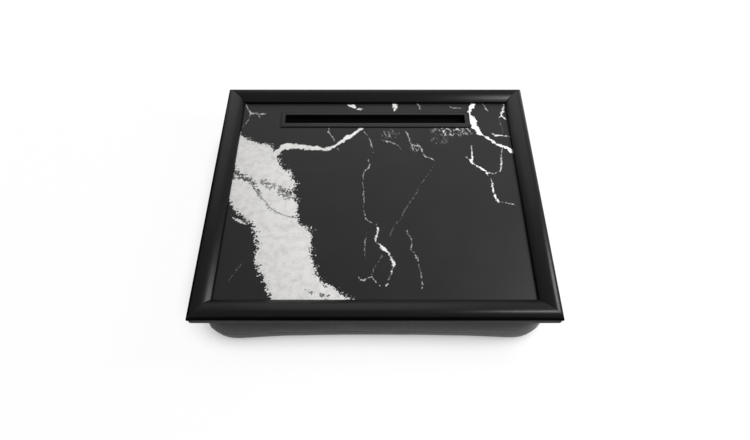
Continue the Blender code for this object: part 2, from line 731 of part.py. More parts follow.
def make_zip_slider(shop):
    """A plate with lips on either side of the chain and a bridge that holds the pull."""
    inner = ZIP_CHAIN_HEIGHT / 2 + FIT_GAP
    outer = inner + SLIDER_LIP_THICKNESS
    under = -SLIDER_PLATE_THICKNESS
    lip_end = under - SLIDER_LIP_DEPTH
    section = [
        (0, -outer),
        (0, outer),
        (lip_end, outer),
        (lip_end, inner),
        (under, inner),
        (under, -inner),
        (lip_end, -inner),
        (lip_end, -outer),
    ]
    body = prism(section, -SLIDER_LENGTH / 2, SLIDER_LENGTH / 2, axis=0)
    mesh = to_mesh("zip_slider", body)
    slider = shop.part("zip_slider", mesh, "gunmetal", slider_place())

    far = BRIDGE_HALF_SPAN + BRIDGE_THICKNESS
    top = BRIDGE_CLEAR_HEIGHT + BRIDGE_THICKNESS
    foot = -SLIDER_PLATE_THICKNESS / 2
    arch = [
        (-far, foot),
        (-BRIDGE_HALF_SPAN, foot),
        (-BRIDGE_HALF_SPAN, BRIDGE_CLEAR_HEIGHT),
        (BRIDGE_HALF_SPAN, BRIDGE_CLEAR_HEIGHT),
        (BRIDGE_HALF_SPAN, foot),
        (far, foot),
        (far, top),
        (-far, top),
    ]
    bm = prism(arch, -BRIDGE_WIDTH / 2, BRIDGE_WIDTH / 2)
    bridge = shop.cutter("slider_bridge", to_mesh("slider_bridge", bm), slider_place())
    cut(slider, bridge, "UNION")
    return slider


def pull_pivot():
    return slider_place() + Vector((0, BRIDGE_CLEAR_HEIGHT / 2, 0))


def make_zip_pull(shop):
    """The pull tab, whose end bar turns under the slider's bridge."""
    start = -PULL_BAR_WIDTH / 2
    size = (PULL_LENGTH, PULL_THICKNESS, PULL_WIDTH)
    bm = box(size, (start + PULL_LENGTH / 2, 0, 0))
    round_edges(bm, edges_along(bm, 1), PULL_CORNER_RADIUS)
    pull = shop.part("zip_pull", to_mesh("zip_pull", bm), "gunmetal", pull_pivot())
    eye_size = (PULL_EYE_LENGTH, PULL_THICKNESS + 2 * CUT_OVERRUN, PULL_EYE_HEIGHT)
    eye_centre = (PULL_BAR_WIDTH / 2 + PULL_EYE_LENGTH / 2, 0, 0)
    eye = shop.cutter("pull_eye", to_mesh("pull_eye", box(eye_size, eye_centre)), pull_pivot())
    cut(pull, eye)
    return pull


def main():
    clear_scene()
    shop = Workshop()
    screws, screw_holes = make_screws(shop)
    nails, nail_slots = make_mitre_nails(shop)
    tray = [
        make_base_board(shop, screw_holes),
        make_laminate(shop),
        make_slot_insert(shop),
        *make_rails(shop, screw_holes, nail_slots),
        *screws,
        *nails,
        *make_tapes(shop, "hook", HOOK_TOP, HOOK_THICKNESS, "black_hook_tape"),
    ]
    carry(shop.joint("tray_lift", (0, 0, BOARD_UNDERSIDE_HEIGHT)), *tray)

    make_tapes(shop, "loop", LOOP_TOP, LOOP_THICKNESS, "black_loop_tape")
    make_covers(shop)
    make_filling(shop)
    make_zip(shop)
    slider = make_zip_slider(shop)
    pull = make_zip_pull(shop)
    travel = shop.joint("slider_travel", slider_place())
    swing = shop.joint("pull_swing", pull_pivot())
    carry(travel, slider, swing)
    carry(swing, pull)


main()
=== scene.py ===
import functools
import math

import bmesh
import bpy
from mathutils import Matrix, Vector
from mathutils.noise import fractal, noise


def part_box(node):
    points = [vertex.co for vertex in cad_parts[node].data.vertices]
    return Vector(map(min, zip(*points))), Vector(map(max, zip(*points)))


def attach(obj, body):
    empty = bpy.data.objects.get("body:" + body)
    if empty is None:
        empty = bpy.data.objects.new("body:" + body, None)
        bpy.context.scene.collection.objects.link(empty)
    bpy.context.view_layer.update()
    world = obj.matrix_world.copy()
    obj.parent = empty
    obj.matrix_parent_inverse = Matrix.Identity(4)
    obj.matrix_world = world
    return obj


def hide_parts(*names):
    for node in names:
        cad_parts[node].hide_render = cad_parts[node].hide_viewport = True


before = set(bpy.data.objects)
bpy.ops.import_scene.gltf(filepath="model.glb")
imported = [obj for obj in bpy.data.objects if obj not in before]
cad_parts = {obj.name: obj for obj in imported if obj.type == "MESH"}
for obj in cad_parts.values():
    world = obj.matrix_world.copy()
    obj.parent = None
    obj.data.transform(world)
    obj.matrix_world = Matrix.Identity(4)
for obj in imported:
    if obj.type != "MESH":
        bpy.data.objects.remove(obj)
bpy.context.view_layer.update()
scene = bpy.context.scene
mm = 0.001
print("frame loaded")


softStep = {"interpolation_type": "SMOOTHSTEP"}  # for a map range without hard ends
touching = 1e-6  # metres, within which two places are one
snapping = 1e-7  # metres, within which a cut keeps to a point that is already there


def hexColour(code):  # sRGB hex to the linear colour that a socket takes
    channels = [int(code[start:start + 2], 16) / 255 for start in (1, 3, 5)]
    return (*(c / 12.92 if c <= 0.04045 else ((c + 0.055) / 1.055) ** 2.4 for c in channels), 1)


# The inputs have names, or come in the node's order. Each is a value, a socket, or a node to link.
def setInputs(tree, node, inputs):
    for name, value in inputs.items() if isinstance(inputs, dict) else enumerate(inputs):
        if isinstance(value, bpy.types.Node):
            value = next(out for out in value.outputs if out.enabled)
        if isinstance(value, bpy.types.NodeSocket):
            tree.links.new(value, node.inputs[name])
        elif value is not None:
            node.inputs[name].default_value = value


def addNode(tree, kind, inputs=None, operation=None, **settings):
    node = tree.nodes.new("ShaderNode" + kind)
    if operation:
        node.operation = operation
    for name, value in settings.items():
        setattr(node, name, value)
    setInputs(tree, node, inputs or {})
    return node


# Gives the material, a function that adds nodes to it, and the places that its patterns lie on, in metres
def startMaterial(name, **values):
    material = bpy.data.materials.new(name)
    material.use_nodes = True
    tree = material.node_tree
    values = {socket.replace("_", " "): value for socket, value in values.items()}
    setInputs(tree, tree.nodes["Principled BSDF"], values)
    return material, functools.partial(addNode, tree), addNode(tree, "TexCoord").outputs["Object"]


# Colour, gloss and bump are each a node with two values: two colours, two roughnesses, or a depth and a
# strength. Colour and gloss can also be a node alone.
def finishMaterial(material, colour, gloss=None, bump=None, **others):
    tree = material.node_tree
    if isinstance(colour, tuple):
        share, low, high = colour
        colour = addNode(tree, "Mix", {0: share, 6: hexColour(low), 7: hexColour(high)}, data_type="RGBA")
    if isinstance(gloss, tuple):
        share, low, high = gloss
        gloss = addNode(tree, "MapRange", {0: share, 3: low, 4: high})
    if bump:
        height, depth, strength = bump
        bump = addNode(tree, "Bump", {"Height": height, "Distance": depth, "Strength": strength})
    others = {socket.replace("_", " "): value for socket, value in others.items()}
    setInputs(tree, tree.nodes["Principled BSDF"], {
        "Base Color": colour, "Roughness": gloss, "Normal": bump, **others})
    return material


def cloudedMaterial(name, size, detail, rough, colours, gloss, bump, **values):
    material, add, place = startMaterial(name, **values)  # one cloud drives the whole look
    cloud = add("TexNoise", {"Vector": place, "Scale": 1 / size, "Detail": detail, "Roughness": rough})
    return finishMaterial(material, (cloud, *colours), gloss and (cloud, *gloss), (cloud, *bump))


def toMesh(bm, name="shape"):
    mesh = bpy.data.meshes.new(name)
    bm.to_mesh(mesh)
    bm.free()
    return mesh


def addPiece(name, bm, material, body, replaced=(), sharp=35):
    mesh = toMesh(bm, name)
    mesh.shade_smooth()
    mesh.set_sharp_from_angle(angle=math.radians(sharp))
    mesh.materials.append(material)
    piece = bpy.data.objects.new(name, mesh)
    scene.collection.objects.link(piece)
    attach(piece, body)
    if replaced:
        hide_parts(*replaced)
    return piece


def dressNode(node, material):
    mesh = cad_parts[node].data
    mesh.materials.clear()
    mesh.materials.append(material)


def vertsOf(made):  # the points among what an operator made
    return [item for item in made if isinstance(item, bmesh.types.BMVert)]


def placed(spot, angle):  # the matrix that turns a shape round Z and then moves it
    return Matrix.Translation(spot) @ Matrix.Rotation(angle, 4, "Z")


def cutAcross(bm, place, normal, **options):
    whole = bm.verts[:] + bm.edges[:] + bm.faces[:]
    bmesh.ops.bisect_plane(bm, geom=whole, plane_co=place, plane_no=normal, **options)


def bevelEdges(bm, edges, width, segments=3):
    bmesh.ops.bevel(bm, geom=edges, offset=width, segments=segments, profile=0.5, affect="EDGES", material=-1)


def edgesAlong(bm, axis):
    return [e for e in bm.edges if abs((e.verts[0].co - e.verts[1].co).normalized()[axis]) > 0.999]


def edgesAt(bm, axis, level):
    return [e for e in bm.edges if all(abs(v.co[axis] - level) < touching for v in e.verts)]


def blockBetween(low, high):
    low, high = Vector(low), Vector(high)
    bm = bmesh.new()
    bmesh.ops.create_cube(bm, size=1)
    bmesh.ops.scale(bm, vec=high - low, verts=bm.verts)
    bmesh.ops.translate(bm, vec=(low + high) / 2, verts=bm.verts)
    return bm


# Rounds a block's edges along one axis, then the rims where it ends at some levels of that axis
def roundedBlock(low, high, axis, corner, steps, levels=(), rim=0.0, rimSteps=3):
    bm = blockBetween(low, high)
    bevelEdges(bm, edgesAlong(bm, axis), corner, steps)
    if levels:
        bevelEdges(bm, [e for level in levels for e in edgesAt(bm, axis, level)], rim, rimSteps)
    return bm


def turnedShape(profile, steps=32):  # a closed profile of (radius, height) in millimetres, spun round Z
    bm = bmesh.new()
    points = [bm.verts.new((radius * mm, 0, height * mm)) for radius, height in profile]
    line = [bm.edges.new(pair) for pair in zip(points, points[1:])]
    bmesh.ops.spin(
        bm, geom=points + line, cent=(0, 0, 0), axis=(0, 0, 1), angle=math.tau, steps=steps, use_merge=True)
    bmesh.ops.remove_doubles(bm, verts=bm.verts, dist=touching)
    bmesh.ops.recalc_face_normals(bm, faces=bm.faces)
    return bm


def copiesOf(source, matrices):  # copies of a mesh, each placed by its matrix
    bm = bmesh.new()
    for matrix in matrices:
        start = len(bm.verts)
        bm.from_mesh(source)
        bm.verts.ensure_lookup_table()
        bmesh.ops.transform(bm, matrix=matrix, verts=bm.verts[start:])
    return bm


def carve(bm, cutter, operation="DIFFERENCE"):  # an exact Boolean on two bmeshes, which gives a third
    objects = []
    for label, source in (("blank", bm), ("cutter", cutter)):
        objects.append(bpy.data.objects.new(label, toMesh(source, label)))
        scene.collection.objects.link(objects[-1])
    blank, tool = objects
    change = blank.modifiers.new("carve", "BOOLEAN")
    change.operation = operation
    change.solver = "EXACT"
    change.object = tool
    carved = bmesh.new()
    carved.from_object(blank, bpy.context.evaluated_depsgraph_get())
    for spent in objects:
        bpy.data.objects.remove(spent)
    return carved


# Camera, fitted to the photograph's frame of 750 x 440

view = {
    "pitch": 53,  # degrees below the horizon
    "lens": 31.82,
    "aim": (0, -47.6 * mm, 68 * mm),
    "distance": 859.8 * mm,
}


def placeCamera():
    tilt = math.radians(view["pitch"])
    data = bpy.data.cameras.new("camera")
    data.lens = view["lens"]
    camera = bpy.data.objects.new("camera", data)
    camera.location = Vector(view["aim"]) + view["distance"] * Vector((0, -math.cos(tilt), math.sin(tilt)))
    camera.rotation_euler = (math.pi / 2 - tilt, 0, 0)
    scene.collection.objects.link(camera)
    scene.camera = camera


# Studio: white paper, a soft box high on the right, a wide weak one behind, and black cards that keep the
# white room out of the satin blacks

studio = {
    "floorPaper": "#f2f2f2",
    "floorSeen": "#424242",  # the part of the paper's white that the lamps' shadows take away
    "floorLift": 0.965,  # the rest of its white, away from the object
    "shadeReach": 60 * mm,  # of the soft shade round the object
    "shadeLean": (0.4, -0.3, 0.87),  # towards the light, so that the shade falls to the left and the back
    "shadeRange": (0.1, 0.84),  # open sky at the darkest place, and where the paper is white again
    "fullWhite": (0.4, 1.4),  # how far away the last of the paper's grey begins to go, and is gone
    "floorReach": 6,
    "floorDrop": 0.2 * mm,  # keeps the paper clear of the object's underside
    "floorBounce": 0.5,  # lights the object from below
    "background": 1.0,
    "ambient": 0.13,
    "lamps": {  # place, width and height in metres, watts
        "softBox": ((0.55, 0.03, 0.58), (0.22, 0.38), 6.85),
        "backBox": ((-0.1, 1.3, 1.0), (1.2, 1.2), 6),
    },
    "cards": {  # middle, then half sizes
        "frontCard": ((0, -0.905, 0.002), (1.2, 0.7, 0)),
        "frontWall": ((0, -1.61, 0.45), (1.2, 0, 0.45)),
        "leftCard": ((-0.87, 0.65, 0.002), (0.63, 0.85, 0)),
        "leftWall": ((-1.3, 0.3, 0.4), (0, 1.2, 0.4)),
    },
}


def seenDirectly(tree):  # 1 for camera, glossy and transmission rays, which all show the background
    path = addNode(tree, "LightPath")
    seen = [path.outputs["Is Camera Ray"], path.outputs["Is Glossy Ray"]]
    seen = addNode(tree, "Math", seen, "MAXIMUM")
    return addNode(tree, "Math", [seen, path.outputs["Is Transmission Ray"]], "MAXIMUM")


def addStage(name, bm, material, place=(0, 0, 0)):
    mesh = toMesh(bm, name)
    mesh.materials.append(material)
    thing = bpy.data.objects.new(name, mesh)
    thing.location = place
    scene.collection.objects.link(thing)
    return thing


def seamlessPaper():  # matt white paper, which shows white with a soft grey shade round the object
    material, add, place = startMaterial(
        "seamlessPaper", Roughness=0.9, Specular_IOR_Level=0.0, Emission_Color=(1, 1, 1, 1))
    seen = seenDirectly(material.node_tree)
    lean = add("CombineXYZ", studio["shadeLean"])
    shade = add("AmbientOcclusion", {"Distance": studio["shadeReach"], "Normal": lean}, samples=16)
    deep, clear = studio["shadeRange"]
    lift = add("MapRange", {0: shade.outputs["AO"], 1: deep, 2: clear, 4: studio["floorLift"]})
    away = add("VectorMath", [place], "LENGTH")
    near, far = studio["fullWhite"]
    away = add("MapRange", {0: away.outputs["Value"], 1: near, 2: far, 4: 1 - studio["floorLift"]})
    lift = add("Math", [lift, away], "ADD")  # no horizon line in low views
    lift = add("Mix", {0: seen, 2: studio["floorBounce"], 3: lift})
    return finishMaterial(material, (seen, studio["floorPaper"], studio["floorSeen"]), Emission_Strength=lift)


def lightStudio():
    world = bpy.data.worlds.new("studio")
    scene.world = world
    world.use_nodes = True
    tree = world.node_tree
    strength = addNode(tree, "Mix", {0: seenDirectly(tree), 2: studio["ambient"], 3: studio["background"]})
    setInputs(tree, tree.nodes["Background"], {"Strength": strength, "Color": (1, 1, 1, 1)})
    for name, (place, size, watts) in studio["lamps"].items():
        data = bpy.data.lights.new(name, "AREA")
        data.shape = "RECTANGLE"
        data.size, data.size_y = size
        data.energy = watts
        lamp = bpy.data.objects.new(name, data)
        lamp.location = place
        lamp.rotation_euler = Vector(place).to_track_quat("Z", "Y").to_euler()  # shines at the middle
        scene.collection.objects.link(lamp)

    bm = bmesh.new()
    bmesh.ops.create_grid(bm, x_segments=1, y_segments=1, size=studio["floorReach"])
    addStage("floor", bm, seamlessPaper(), (0, 0, -studio["floorDrop"]))
    card = startMaterial("blackFlock", Base_Color=(0, 0, 0, 1), Roughness=1.0, Specular_IOR_Level=0.0)[0]
    for name, (middle, half) in studio["cards"].items():
        middle, half = Vector(middle), Vector(half)
        bm = blockBetween(middle - half - Vector((0, 0, mm)), middle + half)
        flag = addStage(name, bm, card)
        for ray in ("camera", "diffuse", "transmission", "volume_scatter", "shadow"):
            setattr(flag, f"visible_{ray}", False)


placeCamera()
lightStudio()
scene.view_settings.view_transform = "Standard"
print("camera and studio placed")


# Frame rails: a moulding wrapped in satin black foil, mitred at the corners

rail = {
    "crownRun": 9.5 * mm,  # from the outer side to the highest line
    "sideHeight": 1.5 * mm,
    "lipHeight": 4.2 * mm,
    "lipRound": 0.8 * mm,
    "footRound": 0.4 * mm,
    "mitreGap": 0.12 * mm,
    "mitreArris": 0.22 * mm,
    "arcSteps": 18,
}


def wrappedFoil():  # PVC foil on fibreboard: satin, with a faint orange peel from the glue below it
    material, add, place = startMaterial("wrappedFoil", Specular_IOR_Level=0.12)
    cloud, rubbed, peel = (
        add("TexNoise", {"Vector": place, "Scale": 1 / (size * mm), "Detail": detail})
        for size, detail in ((60, 3), (14, 4), (2.2, 2)))
    return finishMaterial(
        material, (cloud, "#070708", "#0f0f10"), (rubbed, 0.27, 0.35), (peel, 0.03 * mm, 0.5))


def makeRail(side, length, spread, turn, material):  # shaped as the front rail, then turned to its side
    low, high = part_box("frame_rail_front")
    width, height = high.y - low.y, high.z - low.z
    outer, foot = -spread / 2, low.z
    run, rise = rail["crownRun"], height - rail["sideHeight"]
    bm = bmesh.new()
    start = bm.verts.new((-length / 2, outer, foot + rail["sideHeight"]))
    centre = Vector((0, outer + run, foot + rail["sideHeight"]))
    crown = bmesh.ops.spin(
        bm, geom=[start], cent=centre, axis=(1, 0, 0), angle=-math.pi / 2, steps=rail["arcSteps"])
    bmesh.ops.scale(bm, vec=(1, 1, rise / run), space=Matrix.Translation(-centre), verts=bm.verts)
    top = vertsOf(crown["geom_last"])[0]
    fall, reach = height - rail["lipHeight"], width - run
    radius = (reach ** 2 + fall ** 2) / (2 * fall)
    slope = bmesh.ops.spin(
        bm, geom=[top], cent=top.co - Vector((0, 0, radius)), axis=(1, 0, 0),
        angle=-math.asin(reach / radius), steps=rail["arcSteps"])
    lip = vertsOf(slope["geom_last"])[0]
    inner = bm.verts.new((-length / 2, outer + width, foot))
    corner = bm.verts.new((-length / 2, outer, foot))
    for pair in ((lip, inner), (inner, corner), (corner, start)):
        bm.edges.new(pair)
    end = bmesh.ops.contextual_create(bm, geom=bm.edges[:])["faces"]
    grown = bmesh.ops.extrude_face_region(bm, geom=end)["geom"]
    bmesh.ops.translate(bm, vec=(length, 0, 0), verts=vertsOf(grown))
    bmesh.ops.recalc_face_normals(bm, faces=bm.faces)
    lipEdges = [e for e in edgesAt(bm, 1, outer + width) if min(v.co.z for v in e.verts) > foot + mm]
    bevelEdges(bm, lipEdges, rail["lipRound"], 4)
    footEdges = [e for e in edgesAt(bm, 1, outer) if e in edgesAt(bm, 2, foot)]
    bevelEdges(bm, footEdges, rail["footRound"], 3)
    for way in (-1, 1):
        tip = (way * (length / 2 - rail["mitreGap"]), outer, 0)
        cutAcross(bm, tip, (way, 1, 0), clear_outer=True)
        filled = bmesh.ops.holes_fill(bm, edges=[e for e in bm.edges if e.is_boundary])["faces"]
        bevelEdges(bm, [e for face in filled for e in face.edges], rail["mitreArris"], 2)
    bmesh.ops.rotate(bm, cent=(0, 0, 0), matrix=Matrix.Rotation(turn, 3, "Z"), verts=bm.verts)
    addPiece(f"rail_{side}", bm, material, "tray", [f"frame_rail_{side}"], sharp=28)


def makeFrame():
    foil = wrappedFoil()
    trayWidth = 2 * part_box("frame_rail_right")[1].x
    trayDepth = 2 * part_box("frame_rail_back")[1].y
    makeRail("front", trayWidth, trayDepth, 0, foil)
    makeRail("right", trayDepth, trayWidth, math.pi / 2, foil)
    makeRail("back", trayWidth, trayDepth, math.pi, foil)
    makeRail("left", trayDepth, trayWidth, -math.pi / 2, foil)


makeFrame()
print("frame rails made")


# Marble print: veins are drawn as curves, in millimetres from the panel's middle

marble = {
    "colours": {"black": "#19191a", "blackCloud": "#232324", "white": "#f2f1ef", "greyWhite": "#dddcda",
                "crack": "#5b5a59"},
    # size in millimetres, detail and roughness of each cloud in the print
    "clouds": {"pulse": (8, 5, 0.5), "grit": (2.2, 4, 0.7), "spatter": (3.4, 3, 0.6), "mottle": (9, 7, 0.65),
               "ground": (50, 5, 0.5), "handled": (20, 3, 0.5), "pores": (1.2, 2, 0.5)},
    # size, reach, detail and roughness of the clouds that bend the band's edges, the veins and the flecks
    "bandWarp": (11, 5, 4, 0.68),
    "veinWarp": (5.5, 6.5, 6, 0.76),
    "fleckWarp": (5, 4, 4, 0.68),
    "bandTurn": 61.3,  # degrees from the X axis down to the white band's length
    "crumbs": ((9, 11), (2.6, 15)),  # size of each grit, and how far it moves the band's edge
    # (along, across) the band, on its upper and on its lower edge
    "upperEdge": [(-189, -120), (-173, -114), (-158, -104), (-146, -93), (-134, -90), (-120, -90),
        (-107, -91), (-92, -89), (-86, -86), (-70, -86), (-56, -90), (-51, -94), (-46, -98), (-31, -98),
        (-24, -103), (-7, -110), (2, -111), (18, -105), (27, -106), (35, -109), (40, -114), (49, -118),
        (64, -122), (82, -125), (91, -125), (100, -121), (107, -117), (123, -111), (130, -107)],
    "lowerEdge": [(-189, -166), (-110, -172), (-87, -176), (-66, -176), (-52, -174), (-46, -171),
        (-37, -168), (-21, -167), (-6, -170), (8, -172), (14, -178), (21, -182), (28, -185), (35, -183),
        (54, -185), (74, -187), (88, -189), (130, -190)],
    # where fine flecks gather: middle, half sizes, whiteness
    "flecks": [((112, 112), (32, 11), 1.0), ((92, 94), (15, 8), 0.35), ((22, 106), (14, 10), 0.5),
               ((58, 79), (9, 8), 0.7)],
    "fleckLeans": (33, -27),  # degrees from upright, for the slivers that cross each other
    "sliver": (3, 4),  # how wide a sliver is, and how many times longer
    "web": (34, 0.02, 0.3),  # size of the cells between faint cracks, width and strength of the cracks
    "webWarp": (18, 22, 6, 0.68),
    "webCloud": (22, 0.52, 0.64),  # size of the clouds that show the cracks, and where these start and end
    "flangeShadeReach": (1.5, 2.5),  # painted shade: how far from the slot's flange the print is painted black, and where it begins again
    # a cloud's values from and to, and what these two become
    "swell": (0.3, 0.7, 0.25, 0.7),  # share of its width that a vein has on each side
    "gaps": (0.38, 0.6, 1.8, -0.3),  # what grit takes off a vein, in millimetres
    "holes": (0.43, 0.55, 10, -0.6),  # what spatter takes off a crack
    "mottled": (0.4, 0.7),
    "slivers": (0.56, 0.66),
    "foldSwell": 0.55,  # half of a fold's drawn width, and a little more
    "bandEdge": (-0.6, 0.8),  # how deep inside its outline the band begins to show, and is white
    "veinEdge": (-0.45, 0.45),
    "veinEnd": (0.1, 0.6),  # the widths between which a vein fades in
    "patchEdge": (1.15, 0.5),  # shares of a patch's half size between which its flecks come in
}

# Each vein: the axis it runs along, how white it is, and (along, across, width) in millimetres
veins = {
    "branch": ("x", 1.0, [(-150, 60, 0), (-143, 65, 12), (-136, 71, 18), (-131, 78, 15), (-125, 82, 12),
        (-110, 82, 10), (-95, 80, 9.5), (-80, 78, 8), (-72, 76, 7), (-66, 77, 7), (-57, 82, 8),
        (-50, 89, 9), (-42, 97, 9), (-33, 103, 8), (-26, 111, 8), (-20, 116, 7), (-16, 117, 0)]),
    "twigLeft": ("y", 0.8, [(91, -57, 0), (98, -60, 2.4), (104, -63, 1.8), (110, -67, 3), (117, -67, 2.4),
        (121, -69, 0)]),
    "twigRight": ("y", 0.6, [(71, -49, 0), (76, -52, 2), (82, -55, 1.4), (85, -57, 0)]),
    "centreThin": ("y", 0.5, [(-56, 0, 0), (-52, -5, 1.4), (-47, -11, 2.2), (-42, -13, 1.6),
        (-30, -15, 0.8), (-18, -15, 0.9), (-8, -15, 2.4), (-3, -15, 1.8), (8, -16, 1), (20, -16, 1.3),
        (30, -15, 1.6), (37, -13, 2.6), (41, -9, 2.6), (47, -8, 2), (54, -9, 1.3), (60, -8, 0.8),
        (72, -3, 1), (80, -4, 1.5), (88, -6, 2.6), (93, -7, 2.2), (100, -10, 1.2), (108, -14, 1.5),
        (114, -17, 0)]),
    "centreThick": ("y", 1.0, [(-150, 13, 0), (-144, 15, 2.6), (-138, 17, 2), (-130, 20, 1.6),
        (-122, 22, 2.8), (-117, 23, 4.6), (-110, 21, 3.6), (-104, 19, 3.8), (-99, 16, 4.6), (-95, 12, 7),
        (-91, 9, 6), (-87, 5, 3.4), (-82, 1, 2.4), (-76, 1, 3.8), (-70, 3, 2), (-63, 4, 3.4), (-58, 3, 1.6),
        (-54, 0, 0)]),
    "centreFoot": ("x", 0.7, [(-20, -134, 0), (-18, -138, 2.6), (-14, -140, 2.6), (-11, -139, 1.8),
        (-7, -136, 1.6), (-3, -137, 2), (0, -141, 1.6), (4, -146, 1.4), (8, -150, 0)]),
    "centreGhost": ("y", 0.3, [(-108, -12, 0), (-100, -13, 1.4), (-88, -13, 1), (-80, -12, 2.2),
        (-74, -11, 1.4), (-66, -12, 0)]),
    "footGhost": ("y", 0.3, [(-134, -4, 0), (-124, -1, 1.6), (-114, 3, 1), (-107, 8, 1.8), (-102, 9, 0)]),
    "rightOfCentre": ("y", 0.5, [(-152, 57, 0), (-146, 57, 1.8), (-130, 56, 2), (-120, 54, 1.7),
        (-108, 52, 1.9), (-100, 49, 1.3), (-93, 45, 1.6), (-84, 47, 2), (-76, 45, 1.7), (-68, 41, 3),
        (-64, 41, 0)]),
    "longHair": ("y", 0.15, [(-76, 18, 0), (-62, 23, 1.7), (-50, 31, 1.8), (-38, 37, 1.5), (-25, 43, 1.8),
        (-10, 52, 1.4), (0, 57, 1.5), (12, 62, 1.2), (24, 69, 1), (36, 76, 0.9), (48, 82, 0)]),
    "rightThick": ("y", 1.0, [(83, 176, 0), (87, 171, 4.5), (92, 167, 5), (97, 162, 6), (101, 158, 7),
        (104, 153, 8), (108, 150, 9), (114, 147, 10), (122, 145, 12), (132, 144, 11), (141, 141, 8),
        (148, 139, 5), (154, 140, 5), (160, 143, 9), (170, 148, 10)]),
    "rightFall": ("x", 1.0, [(167, 92, 0), (171, 87, 4), (175, 84, 5), (181, 82, 6), (186, 79, 8),
        (190, 74, 9), (194, 70, 9)]),
    "rightInner": ("y", 0.95, [(-18, 165, 0), (-15, 162, 2.8), (-11, 160, 3), (-5, 159, 2.4), (3, 158, 2.4),
        (12, 158, 2.2), (18, 158, 1.6), (25, 156, 1), (30, 153, 2.4), (34, 153, 4), (38, 149, 4.4),
        (43, 143, 4), (48, 137, 3.6), (54, 133, 4.2), (60, 135, 3), (70, 136, 2.4), (80, 136, 1.6),
        (87, 137, 0)]),
    "rightTail": ("x", 0.6, [(159, -15, 0), (163, -18, 2.8), (167, -19, 1.5), (173, -20, 1.2),
        (179, -22, 2.4), (182, -23, 1.8), (186, -25, 0)]),
    "rightFork": ("x", 0.7, [(125, 62, 0), (128, 60, 3), (131, 57, 2.4), (135, 55, 0)]),
    "rightLoop": ("y", 0.7, [(31, 165, 0), (33, 169, 1.8), (37, 172, 2.4), (44, 174, 2.4), (52, 175, 2.4),
        (60, 176, 1.8), (68, 177, 1.8), (76, 179, 1.3), (81, 180, 0)]),
    "loopFoot": ("x", 0.55, [(150, 34, 0), (156, 32, 2.2), (163, 31, 2.2), (168, 33, 2.6), (173, 39, 0)]),
    "rightReach": ("x", 0.75, [(166, 108, 0), (170, 105, 2.8), (173, 103, 4.6), (177, 103, 2.6),
        (184, 102, 1.8), (194, 101, 1.4)]),
    "rightCorner": ("y", 0.85, [(135, 192, 0), (139, 189, 3.2), (142, 186, 3.4), (146, 186, 3.4),
        (152, 188, 4), (158, 190, 3.6), (170, 193, 3)]),
    "cornerArm": ("x", 0.6, [(179, 137, 0), (182, 140, 2.2), (185, 142, 2.6), (188, 143, 0)]),
    "cornerGhost": ("y", 0.25, [(106, 183, 0), (118, 184, 1.4), (128, 182, 1.2), (138, 183, 0)]),
    "topLeft": ("y", 0.7, [(144, -183, 0), (150, -184, 3.2), (156, -187, 3.4), (164, -191, 2.6),
        (170, -193, 2)]),
    "topLeftArm": ("x", 0.6, [(-185, 147, 0), (-178, 148, 2.8), (-172, 147, 2.6), (-164, 147, 3),
        (-160, 147, 0)]),
    "topLeftStem": ("y", 0.55, [(137, -168, 0), (143, -170, 2.4), (148, -172, 2.2), (154, -173, 0)]),
    "topLeftFoot": ("y", 0.35, [(120, -192, 0), (126, -189, 2.8), (133, -185, 2), (140, -184, 2.2),
        (148, -183, 0)]),
    "backBlob": ("x", 1.0, [(-41, 166, 0), (-37, 164, 7), (-33, 163, 10), (-29, 161, 8), (-26, 158, 3),
        (-23, 157, 4.4), (-20, 157, 3), (-17, 158, 0)]),
    "backFleck": ("y", 1.0, [(151, 28, 0), (156, 29, 5), (160, 30, 6.5), (165, 30, 6.5), (168, 28, 4),
        (170, 27, 0)]),
    "backHookLeft": ("y", 0.4, [(154, 68, 0), (160, 66, 2), (165, 65, 2.2), (170, 62, 1.4)]),
    "backHookRight": ("x", 0.5, [(110, 167, 0), (114, 160, 2.4), (120, 159, 2.6), (128, 159, 1.4),
        (132, 158, 0)]),
    "backTick": ("y", 0.45, [(152, 168, 0), (157, 165, 2.8), (162, 163, 1.4), (170, 160, 1)]),
    "fleckArc": ("x", 0.55, [(7, 97, 0), (12, 93, 1.6), (20, 91, 3.4), (27, 87, 1.6), (32, 84, 2.2),
        (35, 80, 1.6), (37, 76, 0)]),
    "innerHook": ("y", 0.55, [(73, 52, 0), (76, 54, 1.8), (80, 53, 2.4), (86, 52, 1.8), (92, 50, 1.4),
        (100, 48, 1.4), (108, 46, 1.8), (113, 41, 0)]),
    "hookTail": ("y", 0.65, [(54, 83, 0), (57, 80, 2), (60, 77, 2.6), (61, 73, 2.8), (63, 70, 2.8),
        (67, 67, 1.8), (74, 66, 1.8), (80, 64, 2), (85, 60, 0)]),
    "footLeft": ("y", 0.22, [(-143, -178, 0), (-130, -172, 1.4), (-118, -166, 1.2), (-111, -162, 0)]),
    "island": ("x", 0.9, [(-188, -40, 0), (-183, -46, 4), (-176, -50, 6), (-170, -53, 5), (-165, -56, 0)]),
}

